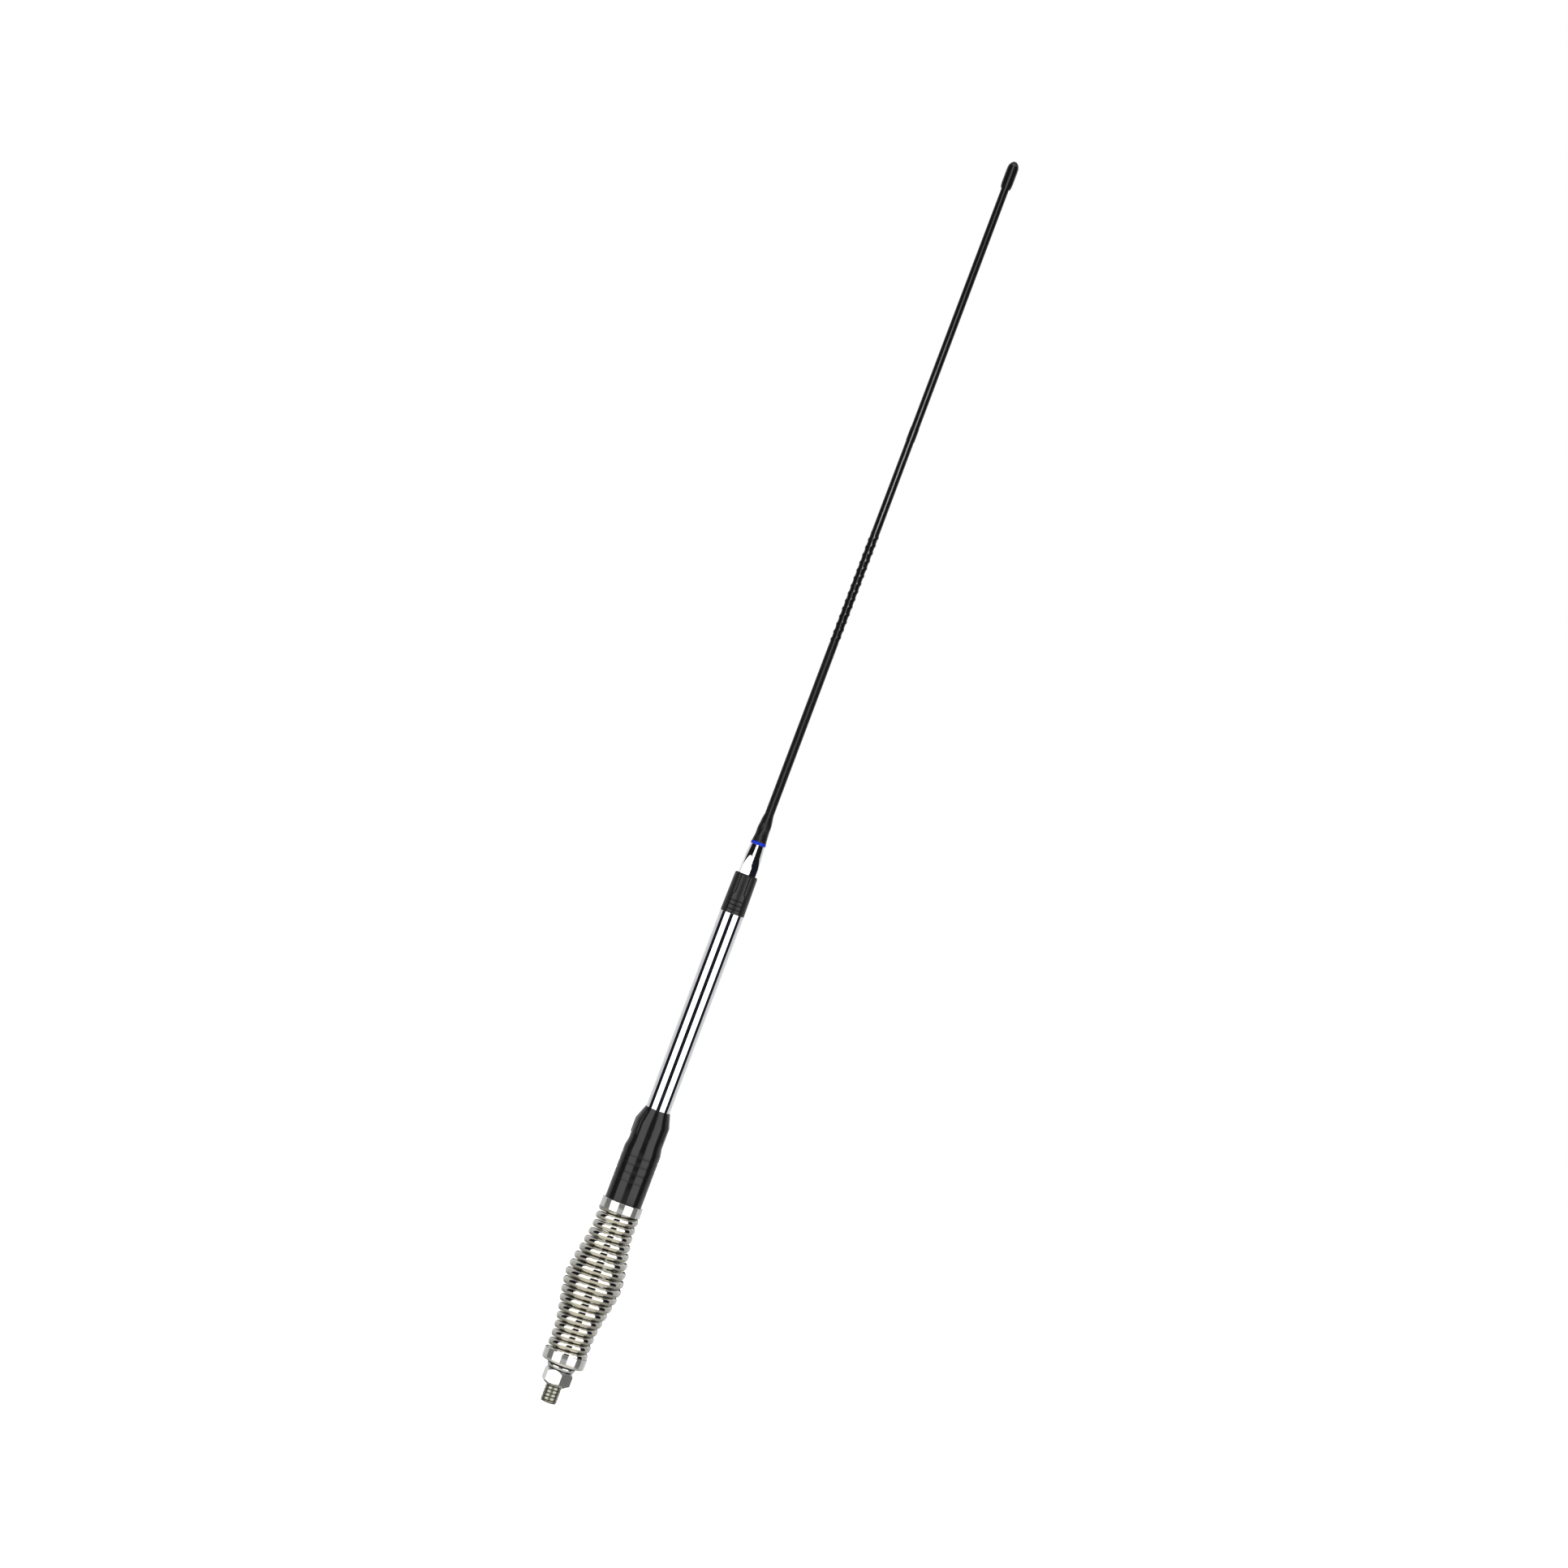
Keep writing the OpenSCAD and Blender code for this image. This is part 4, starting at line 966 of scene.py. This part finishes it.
SLEEVE_FOOT_R = 3.6
SLEEVE_TOP_R = 3.45
MIDDLE_FOOT_R = 3.35
MIDDLE_TOP_R = 3.2
CUFF_R = 3.5
CUFF_LEN = 9.6
UPPER_R = 3.25
UPPER_TIP_R = 3.05
CAP_R = 4.45


def upper_sleeve():
    low, high = box("upper_sleeve")
    cuff_top = low.z + CUFF_LEN
    inner = rod_r(cuff_top) + FIT
    piece = lathe("upper_whip_sleeve", softened([
        (MIDDLE_FOOT_R, low.z, 0), (CUFF_R, low.z, 0.12), (CUFF_R, cuff_top, 0.8), (UPPER_R, cuff_top + 2.0, 0.8),
        (UPPER_TIP_R, high.z, 0), (rod_r(high.z) + FIT, high.z, 0), (inner, cuff_top, 0),
        (MIDDLE_FOOT_R, cuff_top, 0)]), 64)
    seated(painted(shaded(piece), "jacket_black"), "upper_sleeve", slot="jacket_black")


def tip_cap():
    low, high = box("tip_cap")
    dome_h = 6.6
    mouth = UPPER_TIP_R + 0.1
    steps = 14
    dome = []
    for i in range(steps):
        angle = math.pi / 2 * i / steps
        dome.append((CAP_R * math.cos(angle), high.z - dome_h + dome_h * math.sin(angle), 0))
    piece = lathe("whip_tip", softened([
        (mouth, low.z, 0), (mouth + 0.5, low.z, 0.3), (CAP_R - 0.25, low.z + 1.6, 1.0), (CAP_R, low.z + 4.0, 1.5),
        *dome, (0, high.z, 0), (0, high.z - 4.6, 0), (mouth, high.z - 4.6, 0)]), 64)
    seated(painted(shaded(piece), "jacket_black"), "tip_cap", slot="jacket_black")


# Studio

LEAN = math.radians(20.66)
PHOTO_PX = 1932
PX = 0.63
FOOT_PIXEL = (675.1, 1727.2)
CAMERA_AWAY = 3.5
SENSOR = 36.0


def camera():
    """A long lens level with the antenna, rolled so that it leans to the right as in the photograph."""
    right = Vector((math.cos(LEAN), 0, math.sin(LEAN)))
    up = Vector((-math.sin(LEAN), 0, math.cos(LEAN)))
    away = Vector((0, -1, 0))
    across = (PHOTO_PX / 2 - FOOT_PIXEL[0]) * PX * MM
    rise = (FOOT_PIXEL[1] - PHOTO_PX / 2) * PX * MM
    centre = Vector((0, 0, STUD_FOOT * MM)) + right * across + up * rise
    lens = bpy.data.cameras.new("camera")
    lens.sensor_width = SENSOR
    lens.lens = SENSOR * CAMERA_AWAY / (PHOTO_PX * PX * MM)
    lens.clip_end = 100
    view = bpy.data.objects.new("camera", lens)
    place = Matrix((right, up, away)).transposed().to_4x4()
    place.translation = centre + away * CAMERA_AWAY
    view.matrix_world = place
    bpy.context.scene.collection.objects.link(view)
    bpy.context.scene.camera = view


# What mirror-bright surfaces see. Ranges are degrees round from the front, then degrees up.
BOX_LIGHT = 2.4
LEFT_BOX = ((-64.0, -16.0), (-16.0, 47.0))
RIGHT_BOX = ((18.0, 67.0), (-14.0, 47.0))
FRONT_CARD = ((-16.0, 18.0), (-5.6, 36.0))
FRONT_LOW = ((-16.0, 18.0), (-16.0, -5.6))
SIDE_WALLS = (-102.0, 101.0)
SIDE_RISE = (-14.0, 42.0)
BACK_CARDS = ((163.0, 175.0), (-40.0, 50.0))
TOP_BOX = ((-44.0, 40.0), (43.0, 76.0))
TOP_LIGHT = 1.7
WALL_SIDE = 0.66
WALL_BACK = 0.98
DARK = (0.011, 0.011, 0.018, 1.0)
CEILING = (0.46, 0.45, 0.39, 1.0)
TABLE_FRONT = (0.96, 0.90, 0.74, 1.0)
TABLE_SIDE = (0.42, 0.41, 0.37, 1.0)
LOW_CARD = (0.42, 0.43, 0.45, 1.0)
DIFFUSE_LEVEL = 0.7


def grey(level):
    return (level, level, level, 1.0)


def studio():
    """The world: white behind the object, softboxes and dark cards in reflections, and an even fill."""
    world = bpy.data.worlds.new("studio")
    bpy.context.scene.world = world
    world.use_nodes = True
    world.node_tree.nodes.clear()
    tree = Tree(world.node_tree)
    x, y, z = tree.parts(tree.add("ShaderNodeTexCoord", out="Generated"))
    round_by = tree.math("ARCTAN2", x, -y) * (180 / math.pi)
    up_by = z.math("ARCSINE") * (180 / math.pi)
    away = round_by.math("ABSOLUTE")
    seen = tree.mix(away.smooth(120.0, 175.0), grey(WALL_SIDE), grey(WALL_BACK))
    seen = tree.mix(up_by.smooth(38.0, 60.0), seen, CEILING)
    table = tree.mix(away.smooth(50.0, 95.0), TABLE_FRONT, TABLE_SIDE)
    seen = tree.mix(1 - up_by.smooth(-24.0, -12.0), seen, table)
    sides = round_by.between(*SIDE_WALLS, 1.0) * up_by.smooth(SIDE_RISE[0] - 8, SIDE_RISE[0] + 4)
    seen = tree.mix(sides * (1 - up_by.smooth(SIDE_RISE[1] - 6, SIDE_RISE[1] + 8)), seen, DARK)
    seen = tree.mix(away.between(*BACK_CARDS[0], 1.0) * up_by.between(*BACK_CARDS[1], 6.0), seen, DARK)
    seen = tree.mix(round_by.between(*LEFT_BOX[0], 0.8) * up_by.between(*LEFT_BOX[1], 4.0), seen, grey(BOX_LIGHT))
    seen = tree.mix(round_by.between(*RIGHT_BOX[0], 0.8) * up_by.between(*RIGHT_BOX[1], 4.0), seen, grey(BOX_LIGHT))
    seen = tree.mix(round_by.between(*TOP_BOX[0], 4.0) * up_by.between(*TOP_BOX[1], 3.0), seen, grey(TOP_LIGHT))
    seen = tree.mix(round_by.between(*FRONT_CARD[0], 0.8) * up_by.between(*FRONT_CARD[1], 1.2), seen, DARK)
    seen = tree.mix(round_by.between(*FRONT_LOW[0], 0.8) * up_by.between(*FRONT_LOW[1], 1.2), seen, LOW_CARD)
    path = world.node_tree.nodes.new("ShaderNodeLightPath")
    glossy = Value(tree, path.outputs["Is Glossy Ray"])
    camera_ray = Value(tree, path.outputs["Is Camera Ray"]) + Value(tree, path.outputs["Is Transmission Ray"])
    light = tree.mix(glossy, grey(DIFFUSE_LEVEL), seen)
    light = tree.mix(camera_ray.math("MINIMUM", 1.0), light, grey(1.0))
    shader = tree.add("ShaderNodeBackground", {"Color": light, "Strength": 1.0})
    tree.add("ShaderNodeOutputWorld", {"Surface": shader})


def lamp(name, round_by, rise, watts, width, height):
    """A soft lamp that faces the middle of the antenna and isn't seen in reflections."""
    data = bpy.data.lights.new(name, "AREA")
    data.shape = "RECTANGLE"
    data.size = width
    data.size_y = height
    data.energy = watts
    source = bpy.data.objects.new(name, data)
    middle = Vector((0, 0, 0.5))
    angle = math.radians(round_by)
    place = middle + Vector((math.sin(angle) * 2.2, -math.cos(angle) * 2.2, rise))
    source.matrix_world = Matrix.Translation(place) @ (place - middle).to_track_quat("Z", "Y").to_matrix().to_4x4()
    source.visible_glossy = False
    source.visible_camera = False
    bpy.context.scene.collection.objects.link(source)


CARD_R = 120.0
CARD_FOOT = 447.0
CARD_TOP = 1120.0
CARD_SPANS = ((-100.0, -17.0), (18.0, 100.0))
STRIP_SPAN = (-14.0, 13.0)
STRIP_LIGHT = 2.0
STRIP_GAIN = 7.5
STRIP_RISE = (700.0, 725.0)
STRIP_FADE = (745.0, 950.0)


def card(name, span, made):
    """A curved card close in front of the whip, which only reflections see."""
    steps = 12
    corners = []
    for z in (CARD_FOOT, CARD_TOP):
        for i in range(steps + 1):
            angle = math.radians(span[0] + (span[1] - span[0]) * i / steps)
            corners.append((CARD_R * math.sin(angle) * MM, -CARD_R * math.cos(angle) * MM, z * MM))
    faces = [(i, i + 1, i + steps + 2, i + steps + 1) for i in range(steps)]
    mesh = bpy.data.meshes.new(name)
    mesh.from_pydata(corners, [], faces)
    mesh.materials.append(made)
    sheet = linked(name, mesh)
    sheet.visible_camera = False
    sheet.visible_diffuse = False
    sheet.visible_shadow = False
    sheet.visible_transmission = False


def whip_cards():
    """Two black cards and a narrow light between them: the round whip shows one bright line in its middle."""
    for name in ("black_card", "strip_light"):
        made = bpy.data.materials.new(name)
        made.use_nodes = True
        made.node_tree.nodes.clear()
        tree = Tree(made.node_tree)
        height = Spot(tree).z
        glow = (height.smooth(*STRIP_RISE) - height.smooth(*STRIP_FADE)) * STRIP_GAIN + STRIP_LIGHT
        level = glow if name == "strip_light" else 0.01
        shader = tree.add("ShaderNodeEmission", {"Color": (1.0, 1.0, 1.0, 1.0), "Strength": level})
        tree.add("ShaderNodeOutputMaterial", {"Surface": shader})
        for i, span in enumerate((STRIP_SPAN,) if name == "strip_light" else CARD_SPANS):
            card(f"{name}_{i}", span, made)


FLOOR_SIZE = 30.0


def floor():
    """A pale floor under the stud's foot. It looks white, and keeps the antenna's shadow."""
    made = bpy.data.materials.new("pale_floor")
    made.use_nodes = True
    made.node_tree.nodes.clear()
    tree = Tree(made.node_tree)
    grain = tree.noise(tree.add("ShaderNodeTexCoord", out="Object"), 3.0)
    plain = tree.add("ShaderNodeBsdfDiffuse", {"Color": tree.mix(grain, (0.80, 0.80, 0.80, 1.0), (0.82, 0.82, 0.82, 1.0))})
    path = made.node_tree.nodes.new("ShaderNodeLightPath")
    lift = tree.add("ShaderNodeEmission", {"Color": (1.0, 1.0, 1.0, 1.0),
                                           "Strength": Value(tree, path.outputs["Is Camera Ray"]) * 0.45})
    both = tree.add("ShaderNodeAddShader", {0: plain, 1: lift})
    tree.add("ShaderNodeOutputMaterial", {"Surface": both})
    half = FLOOR_SIZE / 2
    height = (STUD_FOOT - 0.1) * MM
    mesh = bpy.data.meshes.new("floor")
    mesh.from_pydata([(-half, -half, height), (half, -half, height), (half, half, height), (-half, half, height)],
                     [], [(0, 1, 2, 3)])
    mesh.materials.append(made)
    plane = linked("floor", mesh)
    plane.visible_glossy = False


KEPT_NODES = {
    "socket_insulator": "insulator_white", "socket_contact": "brass", "cable_lower": "jacket_black",
    "base_insert": "brass", "tube_seal": "jacket_black", "cable_upper": "jacket_black",
    "cable_spacers": "insulator_white", "earth_plug": "brass", "feed_terminal": "copper",
    "terminal_nut": "brass", "whip_stud": "brass", "whip_seal": "jacket_black", "whip_rod": "rod_cream",
    "radiator_wire": "copper", "phasing_coil": "copper"}


def dress_kept_nodes():
    """Pieces that stay as the frame has them take their finish in their own material slots."""
    for node, finish in KEPT_NODES.items():
        slots = nodes[node].data.materials
        if not len(slots):
            slots.append(MATERIALS[finish])
        for i in range(len(slots)):
            slots[i] = MATERIALS[finish]


camera()
studio()
lamp("left_lamp", -40, 0.5, 34, 1.0, 1.8)
lamp("right_lamp", 42, 0.5, 30, 1.0, 1.8)
lamp("back_lamp", 180, 1.2, 16, 1.4, 1.4)
floor()
whip_cards()
mounting_stud()
lower_ferrule()
barrel_spring()
cable_in_spring()
upper_ferrule()
base_moulding()
mast_tube()
feed_collar()
whip_ferrule()
colour_ring()
ferrule_boot()
sleeve("lower_whip_sleeve", "lower_sleeve", SLEEVE_FOOT_R, SLEEVE_TOP_R)
coil_jacket()
sleeve("middle_whip_sleeve", "middle_sleeve", MIDDLE_FOOT_R, MIDDLE_TOP_R)
upper_sleeve()
tip_cap()
dress_kept_nodes()
bpy.context.scene.view_settings.view_transform = "Standard"
